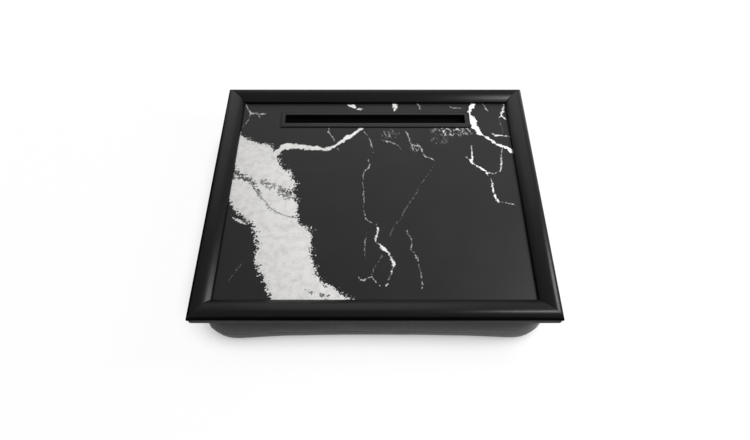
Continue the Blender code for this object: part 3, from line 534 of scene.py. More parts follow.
# Dark cracks across the white band, written the same way
cracks = {
    "longCrack": ("x", 0.9, [(-197, 39, 24), (-190, 34, 20), (-183, 27, 15), (-176, 22, 14), (-170, 19, 16),
        (-165, 14, 16), (-160, 7, 13), (-155, -2, 9), (-151, -6, 0)]),
    "edgeCrack": ("x", 0.8, [(-197, 29, 13), (-190, 26, 11), (-184, 22, 0)]),
    "fold": ("x", 0.6, [(-158, -4, 0), (-152, -11, 8), (-146, -18, 6), (-140, -27, 9), (-133, -33, 8),
        (-126, -38, 0)]),
    "bandFoot": ("x", 0.8, [(-84, -152, 0), (-78, -156, 5), (-72, -159, 6), (-66, -160, 4), (-58, -163, 7),
        (-52, -166, 0)]),
    "brokenPatch": ("x", 0.7, [(-156, 16, 0), (-150, 15, 13), (-142, 13, 16), (-134, 8, 17), (-128, 2, 19),
        (-121, -3, 20), (-114, -8, 16), (-108, -12, 12), (-102, -16, 9)]),
    "notch": ("x", 1.0, [(-126, 1, 0), (-118, 1, 8), (-113, 1, 14), (-108, 0, 16), (-100, -3, 16)]),
    "islandGap": ("x", 1.0, [(-197, -22, 6), (-186, -34, 9), (-180, -41, 9), (-173, -46, 8.5),
        (-167, -51, 8.5), (-162, -58, 7), (-157, -68, 0)]),
}

# Thin unbroken lines across the band, written the same way
folds = {
    "foldLine": ("x", 0.7, [(-164, 8, 0), (-156, -5, 1.6), (-148, -15, 1), (-140, -26, 1.5),
        (-133, -32, 1.2), (-126, -37, 1.6), (-117, -41, 1.1), (-108, -44, 1.6), (-98, -45, 1.2),
        (-92, -45, 0)]),
    "edgeLine": ("x", 0.8, [(-176, 20, 0), (-170, 16, 1.4), (-164, 8, 2), (-158, -1, 1.6), (-152, -6, 0)]),
}


def drawnLine(add, along, points):  # the height of a smooth line through points, level beyond its ends
    starts, heights = zip(*sorted(points))
    low, high = min(heights) - 1, max(heights) + 1
    length = starts[-1] - starts[0]
    bend = add("FloatCurve", {"Value": add("MapRange", [along, starts[0], starts[-1]])})
    spots = [((x - starts[0]) / length, (y - low) / (high - low)) for x, y in zip(starts, heights)]
    line = bend.mapping.curves[0].points
    line[0].location, line[1].location = spots[0], spots[-1]
    for spot in spots[1:-1]:
        line.new(*spot)
    bend.mapping.update()
    return add("MapRange", {0: bend, 3: low, 4: high}, clamp=False)


def warpedPlaces(add, place, size, reach, detail, rough):  # places on the panel, shifted by clouds
    cloud = add("TexNoise", {"Vector": place, "Scale": 1 / size, "Detail": detail, "Roughness": rough})
    shift = add("VectorMath", [cloud.outputs["Color"], (0.5, 0.5, 0.5)], "SUBTRACT")
    shift = add("VectorMath", {0: shift, "Scale": reach}, "SCALE")
    return add("VectorMath", [place, shift], "ADD")


def bandMask(add, place):  # the broad white band, with crumbled edges and islands beside them
    warped = warpedPlaces(add, place, *marble["bandWarp"])
    turned = add("Mapping", {"Vector": warped, "Rotation": (0, 0, math.radians(marble["bandTurn"]))})
    along, across = add("SeparateXYZ", [turned]).outputs[:2]
    above = add("Math", [drawnLine(add, along, marble["upperEdge"]), across], "SUBTRACT")
    below = add("Math", [across, drawnLine(add, along, marble["lowerEdge"])], "SUBTRACT")
    depth = add("Math", [above, below], "MINIMUM")
    for size, reach in marble["crumbs"]:
        crumbs = add("TexNoise", {"Vector": place, "Scale": 1 / size, "Detail": 5, "Roughness": 0.6})
        crumbs = add("MapRange", {0: crumbs, 3: -reach, 4: reach})
        depth = add("Math", [depth, crumbs], "ADD")
    return add("MapRange", [depth, *marble["bandEdge"]], **softStep)


def veinMask(add, along, across, swell, gaps, points, strength):
    line = drawnLine(add, along, [(run, offset) for run, offset, width in points])
    width = drawnLine(add, along, [(run, width) for run, offset, width in points])
    off = add("Math", [across, line], "SUBTRACT")
    off = add("Math", [off], "ABSOLUTE")
    half = add("Math", [width, swell], "MULTIPLY")
    half = add("Math", [half, gaps], "SUBTRACT")
    depth = add("Math", [half, off], "SUBTRACT")
    hidden, clear = marble["veinEdge"]
    shown = add("MapRange", {0: depth, 1: hidden, 2: clear, 4: strength}, **softStep)
    fade = add("MapRange", [width, *marble["veinEnd"]])
    return add("Math", [shown, fade], "MULTIPLY")


def allVeins(add, place, drawn, swell, gaps):  # the strongest of the drawn veins at each place
    x, y = add("SeparateXYZ", [warpedPlaces(add, place, *marble["veinWarp"])]).outputs[:2]
    shown = 0.0
    for axis, strength, points in drawn.values():
        along, across = (x, y) if axis == "x" else (y, x)
        vein = veinMask(add, along, across, swell, gaps, points, strength)
        shown = add("Math", [shown, vein], "MAXIMUM")
    return shown


def faintWeb(add, place):  # edges of warped cells, where a cloud allows them
    size, width, strength = marble["web"]
    bent = warpedPlaces(add, place, *marble["webWarp"])
    cells = add("TexVoronoi", {"Vector": bent, "Scale": 1 / size}, feature="DISTANCE_TO_EDGE")
    line = add("MapRange", {0: cells, 1: width, 2: width / 5, 4: strength}, **softStep)
    size, start, stop = marble["webCloud"]
    cloud = add("TexNoise", {"Vector": place, "Scale": 1 / size, "Detail": 4})
    patch = add("MapRange", [cloud, start, stop], **softStep)
    return add("Math", [line, patch], "MULTIPLY")


def flangePaintedShade(add, place):  # painted shade: 0 where the print is painted black along the slot's flange, standing in for the shadow in the gap there, 1 away from it
    low, high = (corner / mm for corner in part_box("slot_insert"))
    fromMiddle = add("VectorMath", [place, (low + high) / 2], "SUBTRACT")
    away = add("VectorMath", [fromMiddle], "ABSOLUTE")
    away = add("VectorMath", [away, (high - low) / 2], "SUBTRACT")
    x, y = add("SeparateXYZ", [away]).outputs[:2]
    gap = add("Math", [x, y], "MAXIMUM")
    dark, clear = marble["flangeShadeReach"]
    return add("MapRange", [gap, dark, clear], **softStep)


def addFlecks(add, place, white):  # white slivers, crossing each other, in a few patches
    bent = warpedPlaces(add, place, *marble["fleckWarp"])
    width, length = marble["sliver"]
    slivers = 0.0
    for lean in marble["fleckLeans"]:
        turn = (0, 0, math.radians(lean))
        drawn = {"Vector": bent, "Rotation": turn, "Scale": (1, length, 1)}
        drawn = add("Mapping", drawn, vector_type="TEXTURE")
        chips = add("TexNoise", {"Vector": drawn, "Scale": 1 / width, "Detail": 3, "Roughness": 0.6})
        chips = add("MapRange", [chips, *marble["slivers"]])
        slivers = add("Math", [slivers, chips], "MAXIMUM")
    rim, core = marble["patchEdge"]
    for (x, y), (reachX, reachY), strength in marble["flecks"]:
        near = add("Mapping", {
            "Vector": bent, "Location": (-x / reachX, -y / reachY, 0), "Scale": (1 / reachX, 1 / reachY, 0)})
        spread = add("VectorMath", [near], "LENGTH").outputs["Value"]
        patch = add("MapRange", {0: spread, 1: rim, 2: core, 4: strength}, **softStep)
        fleck = add("Math", [slivers, patch], "MULTIPLY")
        white = add("Math", [white, fleck], "MAXIMUM")
    return white


def printedMarble():  # decor paper under a melamine coat: satin, and all its depth is in the print
    material, add, place = startMaterial("printedMarble", Specular_IOR_Level=0.13)
    place = add("Mapping", {"Vector": place, "Scale": (1 / mm, 1 / mm, 1 / mm)}).outputs[0]
    clouds = {
        name: add("TexNoise", {"Vector": place, "Scale": 1 / size, "Detail": detail, "Roughness": rough})
        for name, (size, detail, rough) in marble["clouds"].items()}
    swell = add("MapRange", [clouds["pulse"], *marble["swell"]])
    gaps = add("MapRange", [clouds["grit"], *marble["gaps"]])
    holes = add("MapRange", [clouds["spatter"], *marble["holes"]])

    broken = allVeins(add, place, cracks, swell, holes)
    folded = allVeins(add, place, folds, marble["foldSwell"], 0.0)
    dark = add("Math", [broken, folded], "MAXIMUM")
    solid = add("Math", [1.0, dark], "SUBTRACT")
    white = add("Math", [bandMask(add, place), solid], "MULTIPLY")
    white = add("Math", [white, allVeins(add, place, veins, swell, gaps)], "MAXIMUM")
    white = addFlecks(add, place, white)
    # painted shade: the print and its black ground go black along the slot's flange
    shade = flangePaintedShade(add, place)
    white = add("Math", [white, shade], "MULTIPLY")

    mottle = add("MapRange", [clouds["mottle"], *marble["mottled"]], **softStep)
    shades = {name: hexColour(code) for name, code in marble["colours"].items()}
    stone = add("Mix", {0: mottle, 6: shades["white"], 7: shades["greyWhite"]}, data_type="RGBA")
    stone = add("Mix", {0: faintWeb(add, place), 6: stone, 7: shades["crack"]}, data_type="RGBA")
    ground = add("Mix", {0: clouds["ground"], 6: shades["black"], 7: shades["blackCloud"]}, data_type="RGBA")
    ground = add("Mix", {0: shade, 6: (0, 0, 0, 1), 7: ground}, data_type="RGBA")
    colour = add("Mix", {0: white, 6: ground, 7: stone}, data_type="RGBA")
    gloss, bump = (clouds["handled"], 0.38, 0.46), (clouds["pores"], 0.02 * mm, 0.4)
    return finishMaterial(material, colour, gloss, bump)


dressNode("marble_laminate", printedMarble())
print("marble printed")


# Slot insert: a moulded trough whose flange stands a little above the marble

insert = {
    "wall": 1.2 * mm,
    "lips": (5.5 * mm, 7.5 * mm, 4.5 * mm),  # at the ends, in front, behind
    "flangeHeight": 2.2 * mm,
    "cornerRound": 1.0 * mm,
    "rimRound": 0.45 * mm,
    "mouthRound": 0.35 * mm,
    "pocketRound": 0.7 * mm,
    "room": 0.3 * mm,  # between the trough and the board
}


def insertHole(grow=0.0):  # the slot's plan, as its lowest and highest X and Y
    low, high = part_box("slot_insert")
    end, front, back = insert["lips"]
    return (low.x + end - grow, low.y + front - grow), (high.x - end + grow, high.y - back + grow)


def mouldedPlastic():  # ABS from an eroded mould: even fine grain, slightly shiny where hands rub
    material, add, place = startMaterial("mouldedPlastic", Specular_IOR_Level=0.16)
    cloud = add("TexNoise", {"Vector": place, "Scale": 1 / (35 * mm), "Detail": 4})
    gloss = add("MapRange", [cloud, 0.3, 0.7, 0.42, 0.52])
    grain = add("TexNoise", {"Vector": place, "Scale": 1 / (0.8 * mm), "Detail": 2})  # real grit is 0.1 mm
    return finishMaterial(material, (cloud, "#181819", "#1f1f20"), gloss, (grain, 0.05 * mm, 0.5))


def pocketShadePlastic():  # the same ABS as the mould left it inside, matt, and painted deep black as painted shade where little light gets in
    return cloudedMaterial(
        "pocketShadePlastic", 6 * mm, 4, 0.5, ("#020202", "#060606"), None, (0.05 * mm, 0.5),
        Roughness=0.85, Specular_IOR_Level=0.04)


def makeInsert(material, pocketMaterial):
    low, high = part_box("slot_insert")
    wall, tall, bend = insert["wall"], insert["flangeHeight"], insert["pocketRound"]
    flange = roundedBlock(
        (low.x, low.y, high.z - tall), high, 2, insert["cornerRound"], 5, [high.z], insert["rimRound"])
    start, stop = insertHole(wall)
    trough = roundedBlock((*start, low.z), (*stop, high.z - tall / 2), 2, wall + bend, 5, [low.z], bend)
    start, stop = insertHole()
    floor = low.z + wall
    pocket = roundedBlock((*start, floor), (*stop, high.z + mm), 2, bend, 4, [floor], bend * 0.8)
    bm = carve(carve(flange, trough, "UNION"), pocket)
    bmesh.ops.remove_doubles(bm, verts=bm.verts, dist=touching)
    start, stop = insertHole(0.1 * mm)  # a little wider, so that the hole's own edges are inside
    mouth = [e for e in edgesAt(bm, 2, high.z)
             if all(start[axis] < v.co[axis] < stop[axis] for v in e.verts for axis in (0, 1))]
    bevelEdges(bm, mouth, insert["mouthRound"], 3)
    for face in bm.faces:  # the pocket is the plastic painted near black as painted shade, the flange the grained one
        face.material_index = int(face.calc_center_median().z < high.z - insert["mouthRound"])
    trough = addPiece("slot_trough", bm, material, "tray", ["slot_insert"], sharp=40)
    trough.data.materials.append(pocketMaterial)


makeInsert(mouldedPlastic(), pocketShadePlastic())
print("slot insert made")


# Base board, its fixings, and the screws

board = {
    "corner": 4 * mm,
    "arris": 0.45 * mm,
    # radius and height over the underside, in millimetres
    "hole": [(0, -3), (3.7, -3), (3.7, 1.0), (2.05, 2.8), (2.05, 9), (0, 9)],
}

screw = {
    "profile": [(0, 0), (3.1, 0), (3.4, 0.15), (3.4, 0.4), (1.35, 2.3), (1.3, 10.4), (0.5, 12.6), (0, 13.2)],
    "recess": (1.8, 0.7, 1.4),  # reach, width and depth in millimetres
    "recessTaper": 0.72,
    "thread": {"start": 3.2, "stop": 10.6, "pitch": 1.45, "crest": 1.75, "root": 1.2, "half": 0.42},
    "threadSteps": 12,  # a turn
    "turn": 0.83,  # radians from one screw to the next, because each stops where its thread bites
}


def dyedFibreboard():  # MDF dyed through: matt, felted fibres on its face and edge
    material, add, place = startMaterial("dyedFibreboard", Specular_IOR_Level=0.2)
    felt = add("Mapping", {"Vector": place, "Scale": (1, 1, 4)})
    fibres = add("TexNoise", {"Vector": felt, "Scale": 1 / (2.5 * mm), "Detail": 6, "Roughness": 0.7})
    return finishMaterial(
        material, (fibres, "#3c3c3f", "#5a5a5c"), (fibres, 0.5, 0.7), (fibres, 0.08 * mm, 0.6))


def zincPlate():  # electroplated zinc on steel: bright, cloudy, a little blue
    return cloudedMaterial(
        "zincPlate", 2 * mm, 5, 0.7, ("#a9adb2", "#cfd2d4"), (0.26, 0.42), (0.02 * mm, 0.4), Metallic=1.0)


def screwNodes():
    return sorted(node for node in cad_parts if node.startswith("board_screw"))


def screwAxis(node):
    low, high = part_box(node)
    return (low.x + high.x) / 2, (low.y + high.y) / 2


def makeBoard(material):
    low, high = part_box("base_board")
    bm = roundedBlock(low, high, 2, board["corner"], 8, [low.z, high.z], board["arris"])
    start, stop = insertHole(insert["wall"] + insert["room"])
    bm = carve(bm, blockBetween((*start, low.z - mm), (*stop, high.z + mm)))
    hole = toMesh(turnedShape(board["hole"]))
    holes = copiesOf(hole, [Matrix.Translation((*screwAxis(node), low.z)) for node in screwNodes()])
    addPiece("board_dyed", carve(bm, holes), material, "tray", ["base_board"])


def screwShape():
    bm = turnedShape(screw["profile"], 24)
    reach, width, depth = (size * mm for size in screw["recess"])
    taper = screw["recessTaper"]
    for half in ((reach, width / 2), (width / 2, reach)):  # a cross recess, narrower at its bottom
        blade = blockBetween((-half[0], -half[1], -mm), (*half, depth))
        bmesh.ops.scale(blade, vec=(taper, taper, 1), verts=[v for v in blade.verts if v.co.z > 0])
        bm = carve(bm, blade)
    thread, steps = screw["thread"], screw["threadSteps"]
    turns = (thread["stop"] - thread["start"]) / thread["pitch"]
    corners = [bm.verts.new((radius * mm, 0, (thread["start"] + rise) * mm)) for radius, rise in (
        (thread["root"], -thread["half"]), (thread["crest"], 0), (thread["root"], thread["half"]))]
    edges = [bm.edges.new((corners[i - 1], corners[i])) for i in range(3)]
    coil = bmesh.ops.spin(
        bm, geom=corners + edges, cent=(0, 0, 0), axis=(0, 0, 1), angle=math.tau * turns,
        steps=int(steps * turns), dvec=(0, 0, thread["pitch"] * mm / steps))
    for ring in (edges, [e for e in coil["geom_last"] if isinstance(e, bmesh.types.BMEdge)]):
        bmesh.ops.contextual_create(bm, geom=ring)
    bmesh.ops.recalc_face_normals(bm, faces=bm.faces)
    return toMesh(bm, "screw")


def makeScrews(material):
    shape = screwShape()
    for index, node in enumerate(screwNodes()):
        spot = (*screwAxis(node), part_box(node)[0].z)
        bm = copiesOf(shape, [placed(spot, index * screw["turn"])])
        name = node.replace("board_screw", "countersunk")
        addPiece(name, bm, material, "tray", [node], sharp=30)


makeBoard(dyedFibreboard())
zinc = zincPlate()
makeScrews(zinc)
for corner in ("front_left", "front_right", "back_left", "back_right"):
    dressNode(f"mitre_nail_{corner}", zinc)
print("board and screws made")


# Hook tapes under the board and loop tapes on the cushion

tape = {
    "corner": 3 * mm,
    "hookArris": 0.2 * mm,
    "loopArris": 0.5 * mm,
    "hookBase": 0.55 * mm,  # of the tape's 1.2 mm, the rest is hooks
    "hookPitch": (2.2 * mm, 2.4 * mm),
    "hookWidth": 0.36 * mm,
    "hookSunk": 0.05 * mm,  # its root in the tape
    "hookBend": 2.6,  # radians
    "hookLean": 0.7,  # how far aside its bend's middle lies, of the bend's radius
    "selvedge": 2.5 * mm,
    "stitchInset": 1.6 * mm,
    "stitchPitch": 3.2 * mm,
    "stitchLength": 2.5 * mm,
    "threadRadius": 0.24 * mm,
    "threadSunk": 0.3,  # of its radius
}

bandScale = 0.314  # what the Scale of a wave texture has to be for bands one metre apart


def wovenTape(name, colours, thread, fuzz):  # nylon narrow weave: matt, ribbed along its length
    material, add, place = startMaterial(name, Roughness=0.85, Specular_IOR_Level=0.25, Sheen_Weight=0.25)
    bands = {"Vector": place, "Scale": bandScale / thread, "Distortion": 1.5, "Detail": 2}
    ribs = add("TexWave", bands, bands_direction="DIAGONAL")
    pile = add("TexNoise", {"Vector": place, "Scale": 1 / fuzz, "Detail": 5, "Roughness": 0.7})
    height = add("Math", [ribs, pile], "MULTIPLY")
    return finishMaterial(material, (height, *colours), None, (height, 0.3 * mm, 0.8))


def stitchShape(length, radius):  # one thread stitch along X, half sunk in the cloth
    bm = bmesh.new()
    bmesh.ops.create_uvsphere(bm, u_segments=6, v_segments=4, radius=radius)
    bmesh.ops.rotate(bm, cent=(0, 0, 0), matrix=Matrix.Rotation(math.pi / 2, 3, "Y"), verts=bm.verts)
    cutAcross(bm, (0, 0, 0), (1, 0, 0))
    for way in (-1, 1):
        end = [v for v in bm.verts if v.co.x * way > radius / 9]
        bmesh.ops.translate(bm, vec=(way * (length / 2 - radius), 0, 0), verts=end)
    return toMesh(bm, "stitch")


def sewnThread():  # polyester sewing thread: two plies twisted, a little shiny
    material, add, place = startMaterial(
        "sewnThread", Roughness=0.55, Specular_IOR_Level=0.35, Sheen_Weight=0.2)
    bands = {"Vector": place, "Scale": bandScale / (0.9 * mm), "Distortion": 2}
    ply = add("TexWave", bands, bands_direction="DIAGONAL")
    return finishMaterial(material, (ply, "#151516", "#2b2b2d"), None, (ply, 0.08 * mm, 0.6))


def boxRoute(low, high, pitch):  # places and turns of stitches round a rectangle in plan
    route = []
    corners = [Vector(spot) for spot in ((low.x, low.y), (high.x, low.y), (high.x, high.y), (low.x, high.y))]
    for start, stop in zip(corners, corners[1:] + corners[:1]):
        count = max(int((stop - start).length / pitch), 1)
        angle = math.atan2(stop.y - start.y, stop.x - start.x)
        route += [(start.lerp(stop, (step + 0.5) / count), angle) for step in range(count)]
    return route


def hookShape(reach):  # a nylon strip bent over at its end, hanging from the origin
    radius = reach * 0.5
    bm = bmesh.new()
    bmesh.ops.create_grid(bm, x_segments=1, y_segments=1, size=tape["hookWidth"] / 2)
    grown = bmesh.ops.extrude_face_region(bm, geom=bm.faces[:])["geom"]
    bmesh.ops.translate(bm, vec=(0, 0, radius - reach), verts=vertsOf(grown))
    tip = [f for f in grown if isinstance(f, bmesh.types.BMFace)]
    bmesh.ops.spin(bm, geom=tip, cent=(radius * tape["hookLean"], 0, radius - reach), axis=(0, 1, 0),
                   angle=-tape["hookBend"], steps=4)
    bmesh.ops.recalc_face_normals(bm, faces=bm.faces)
    return toMesh(bm, "hook")


def makeHookTape(node, material):
    low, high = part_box(node)
    root = high.z - tape["hookBase"]
    bm = roundedBlock((low.x, low.y, root), high, 2, tape["corner"], 6, [high.z, root], tape["hookArris"], 2)
    inset = tape["selvedge"]
    size = high - low - Vector((2 * inset, 2 * inset, 0))
    columns, rows = (int(size[axis] / tape["hookPitch"][axis]) for axis in (0, 1))
    places = []
    for column in range(columns):
        for row in range(rows):  # every second row faces the other way
            x = low.x + inset + size.x * (column + 0.5) / columns
            y = low.y + inset + size.y * (row + 0.5) / rows
            places.append(placed((x, y, root + tape["hookSunk"]), math.pi * (row % 2)))
    field = copiesOf(hookShape(root - low.z), places)
    field.from_mesh(toMesh(bm))
    addPiece(node.replace("tape", "field"), field, material, "tray", [node])


def makeLoopTape(node, material, thread, stitch):
    low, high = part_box(node)
    bm = roundedBlock(low, high, 2, tape["corner"], 6, [high.z], tape["loopArris"])
    addPiece(node.replace("tape", "pile"), bm, material, "cushion", [node])
    inset = Vector((tape["stitchInset"], tape["stitchInset"], 0))
    level = high.z - tape["threadRadius"] * tape["threadSunk"]
    route = boxRoute(low + inset, high - inset, tape["stitchPitch"])
    seam = copiesOf(stitch, [placed((*spot, level), angle) for spot, angle in route])
    addPiece(node.replace("tape", "stitches"), seam, thread, "cushion", ())


def makeTapes(thread):
    hooks = wovenTape("nylonHook", ("#0d0d0e", "#232325"), 0.9 * mm, 0.6 * mm)
    loops = wovenTape("nylonLoop", ("#101011", "#2c2c2f"), 1.1 * mm, 0.9 * mm)
    stitch = stitchShape(tape["stitchLength"], tape["threadRadius"])
    for side in ("front", "back", "left", "right"):
        makeHookTape(f"hook_tape_{side}", hooks)
        makeLoopTape(f"loop_tape_{side}", loops, thread, stitch)


thread = sewnThread()
makeTapes(thread)
print("hook and loop tapes made")


# Cushion: a cloth cover over a bag of beads, swollen by simulation and flat where it meets floor and board

cushion = {
    "voxel": 6 * mm,
    "grow": 2.2 * mm,  # from the beads out to the cover
    "growBack": 1.6 * mm,  # more where the beads give way to the zip
    "cloth": {"quality": 6, "mass": 0.2, "tension_stiffness": 8, "compression_stiffness": 8,
              "shear_stiffness": 5, "bending_stiffness": 0.4, "use_pressure": True,
              "uniform_pressure_force": 4},
    "frames": 20,
    "cap": 5 * mm,  # the most that a point may move
    "free": 34 * mm,  # how far in from its rim the cushion may swell
    # how much fuller each corner is, as beads gather unevenly, and where on the sides that starts and ends
    "cornerFill": {(-1, -1): 3 * mm, (1, -1): 1.9 * mm, (1, 1): 1.6 * mm, (-1, 1): 1.6 * mm},
    "cornerRange": (0.5, 0.82),
    "lowFill": (3.2 * mm, 9 * mm, 8 * mm),  # how much fuller its foot is, at what height and over what height
    "crown": 3.4 * mm,  # how far the top rises between its tapes
    "crownRange": (8 * mm, 50 * mm),  # in from its edge
    "seamHeight": 24.5 * mm,
    "seamLoops": [(0, 0.5 * mm), (1.0 * mm, 0.15 * mm), (2.2 * mm, 0)],  # away from the seam, and how deep
    "ceiling": 61.5 * mm,  # just under the board
    "loopCeiling": 58.7 * mm,
    "troughCeiling": 59.6 * mm,
    "ceilingReach": 14 * mm,  # from a tape or the trough to where the ceiling is level again
    "ceilingRound": 0.8 * mm,
    "pucker": (0.35 * mm, 11 * mm, 7 * mm),  # height, spacing and reach of the ripples along the seam
    "puckerDrift": (0.8, 40 * mm),  # how unevenly they follow each other
    "sag": (1.2 * mm, 75 * mm, 50 * mm),  # height, width and depth of the soft dents that loose beads leave
    "sagStart": (3.1, 7.7),  # where in the noise they are taken from
    "bagGap": 1.7 * mm,
    "beadGap": 2.9 * mm,
    "zipGap": 1.7 * mm,  # more of a gap behind the zip
    "fill": 0.7,
}

placket = {
    "half": (125.3 * mm, 4.5 * mm),  # half length and half height of the opening for the zip
    "level": 188.8 * mm,  # how far back the cover's flat stretch round the zip lies
    "floor": 186.1 * mm,  # how far forward the opening is cut
    "through": 9 * mm,  # how far behind the flat stretch the cutter begins
    "corner": 2 * mm,
    "hemWidth": 4 * mm,
    "hemRise": 0.5 * mm,  # of the folded edge over the cover
    "hemRound": 0.45 * mm,
    "stitchPitch": 3 * mm,
    "flat": (2 * mm, 5 * mm),  # how far the flat stretch goes on past the opening's ends, and past its sides
    "fade": (26 * mm, 18.2 * mm),  # and where it has gone
}


def wovenPolyester():  # plain weave, matt; drawn at 1.4 mm, as the real 0.4 mm threads are too fine to show
    material, add, place = startMaterial("wovenPolyester", Specular_IOR_Level=0.2, Sheen_Weight=0.35)
    dust = add("TexNoise", {"Vector": place, "Scale": 1 / (70 * mm), "Detail": 4})
    laid = add("UVMap", uv_map="cloth")
    bands = {"Vector": laid, "Scale": bandScale / (1.4 * mm), "Distortion": 0.6, "Detail": 1}
    warp, weft = (add("TexWave", bands, bands_direction=axis) for axis in ("X", "Y"))
    weave = add("Math", [warp, weft], "MULTIPLY")
    drawn = add("Mapping", {"Vector": laid, "Scale": (1, 7, 1)})
    slub = add("TexNoise", {"Vector": drawn, "Scale": 1 / (26 * mm), "Detail": 4})
    mixed = add("Mix", {0: 0.5, 2: weave, 3: slub})
    mixed = add("Mix", {0: 0.35, 2: mixed, 3: dust})
    return finishMaterial(material, (mixed, "#404042", "#686869"), (slub, 0.8, 0.95), (weave, 0.12 * mm, 0.5))


def cottonLiner():  # unbleached cotton: matt, open plain weave
    return cloudedMaterial(
        "cottonLiner", 1.2 * mm, 3, 0.5, ("#cfcbc0", "#e6e3da"), None, (0.15 * mm, 0.6),
        Roughness=0.9, Specular_IOR_Level=0.2, Sheen_Weight=0.2)


def foamedBeads():  # expanded polystyrene: white balls of 4 mm, packed, with soft shade between them
    material, add, place = startMaterial("foamedBeads", Roughness=0.7, Specular_IOR_Level=0.3)
    balls = add("TexVoronoi", {"Vector": place, "Scale": 1 / (4 * mm)})
    dome = add("MapRange", {0: balls, 2: 0.7, 3: 1, 4: 0}, **softStep)
    return finishMaterial(material, (dome, "#bdbdbb", "#f0f0ee"), None, (dome, 1.6 * mm, 0.8))


def settled(thing):  # the object with its modifiers worked out and gone
    graph = bpy.context.evaluated_depsgraph_get()
    mesh = bpy.data.meshes.new_from_object(thing.evaluated_get(graph))
    thing.modifiers.clear()
    thing.data = mesh
    return thing


def remeshed(node, voxel):  # a copy of a node's mesh as an even net of small squares
    copy = bmesh.new()
    copy.from_mesh(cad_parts[node].data)
    bmesh.ops.remove_doubles(copy, verts=copy.verts, dist=touching)
    net = bpy.data.objects.new("net", toMesh(copy, "net"))
    scene.collection.objects.link(net)
    change = net.modifiers.new("net", "REMESH")
    change.mode = "VOXEL"
    change.voxel_size = voxel
    return settled(net)


def swell(net):  # blows the net up with air pressure, each point by the cap at most
    rest = [v.co.copy() for v in net.data.vertices]
    change = net.modifiers.new("air", "CLOTH")
    cloth = change.settings
    for setting, value in cushion["cloth"].items():
        setattr(cloth, setting, value)
    cloth.effector_weights.gravity = 0
    pressed = net.vertex_groups.new(name="pressed")  # held flat between the board and what the tray rests on
    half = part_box("bead_filling")[1] - Vector((cushion["free"], cushion["free"], 0))
    held = [vert.index for vert in net.data.vertices if abs(vert.co.x) < half.x and abs(vert.co.y) < half.y]
    pressed.add(held, 1.0, "REPLACE")
    cloth.vertex_group_mass = pressed.name
    change.collision_settings.use_collision = False
    change.point_cache.frame_start = 1
    change.point_cache.frame_end = cushion["frames"]
    for frameNumber in range(1, cushion["frames"] + 1):
        scene.frame_set(frameNumber)
    settled(net)
    reach = max((vert.co - start).length for vert, start in zip(net.data.vertices, rest))
    print("cushion swollen by up to", round(reach / mm, 1), "mm")
    for vert, start in zip(net.data.vertices, rest):
        moved = vert.co - start
        if moved.length > cushion["cap"]:
            vert.co = start + moved.normalized() * cushion["cap"]


def smoothStep(value, low, high):
    share = min(max((value - low) / (high - low), 0), 1)
    return share * share * (3 - 2 * share)


def softMin(value, limit, radius):  # never above the limit, and rounded over just below it
    over = value - (limit - radius)
    return value if over <= 0 else limit - radius + radius * (1 - math.exp(-over / radius))


def ceilingAt(spot, boxes):  # the board's underside, dipping to a level inside each rectangle
    level = cushion["ceiling"]
    for low, high, dip in boxes:
        away = math.hypot(max(low.x - spot.x, spot.x - high.x, 0), max(low.y - spot.y, spot.y - high.y, 0))
        risen = smoothStep(away, 0, cushion["ceilingReach"])
        level = min(level, dip + (cushion["ceiling"] - dip) * risen)
    return level


def ceilingBoxes():
    sides = ("front", "back", "left", "right")
    boxes = [(*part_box(f"loop_tape_{side}"), cushion["loopCeiling"]) for side in sides]
    start, stop = insertHole(insert["wall"])
    return [*boxes, (Vector((*start, 0)), Vector((*stop, 0)), cushion["troughCeiling"])]


def nearZip(spot):  # 1 where the cover lies flat round the zip, 0 away from it
    if spot.y <= 0:
        return 0
    (reach, rise), flat, fade = placket["half"], placket["flat"], placket["fade"]
    along = smoothStep(abs(spot.x), reach + flat[0], reach + fade[0])
    up = smoothStep(abs(spot.z - cushion["seamHeight"]), rise + flat[1], rise + fade[1])
    return (1 - along) * (1 - up)


def shapePoint(place, normal, boxes, half):  # where a point of the swollen net ends up
    flat = Vector((place.x, place.y, 0))
    away = place.z - cushion["seamHeight"]
    side = 1 - abs(normal.z)
    height, width, depth = cushion["sag"]
    dent = flat / width + Vector((*cushion["sagStart"], place.z / depth))
    push = height * fractal(dent, 1.0, 2.0, 3)  # H, lacunarity and octaves
    height, spacing, reach = cushion["pucker"]
    uneven, size = cushion["puckerDrift"]
    run = place.x if abs(normal.y) > abs(normal.x) else place.y
    ripple = math.cos(math.tau * (run / spacing + uneven * noise(flat / size)))
    push += height * ripple * math.exp(-(away / reach) ** 2)
    corner = min(abs(place.x) / half.x, abs(place.y) / half.y)
    fuller = cushion["cornerFill"][(1 if place.x > 0 else -1, 1 if place.y > 0 else -1)]
    push += fuller * smoothStep(corner, *cushion["cornerRange"])
    extra, level, spread = cushion["lowFill"]
    if side > 0.05:
        push += extra * math.exp(-((place.z - level) / spread) ** 2) / max(side, 0.5)
    spot = place + normal * push * side
    spot.y += cushion["growBack"] * max(spot.y, 0) / half.y
    spot.y += nearZip(spot) * (placket["level"] - spot.y)
    if normal.z > 0.5:
        inside = min(half.x - abs(spot.x), half.y - abs(spot.y))
        spot.z += cushion["crown"] * smoothStep(inside, *cushion["crownRange"])
        spot.z = softMin(spot.z, ceilingAt(spot, boxes), cushion["ceilingRound"])
    spot.z = max(spot.z, 0)
    return spot


def moveVerts(moves):
    for vert, move in moves:
        vert.co += move


def offsetCopy(net, gap):  # the same skin drawn inwards, and further in behind the zip
    bm = bmesh.new()
    bm.from_mesh(net.data)
    bm.normal_update()
    moveVerts([(vert, vert.normal * -(gap + cushion["zipGap"] * nearZip(vert.co))) for vert in bm.verts])
    return bm


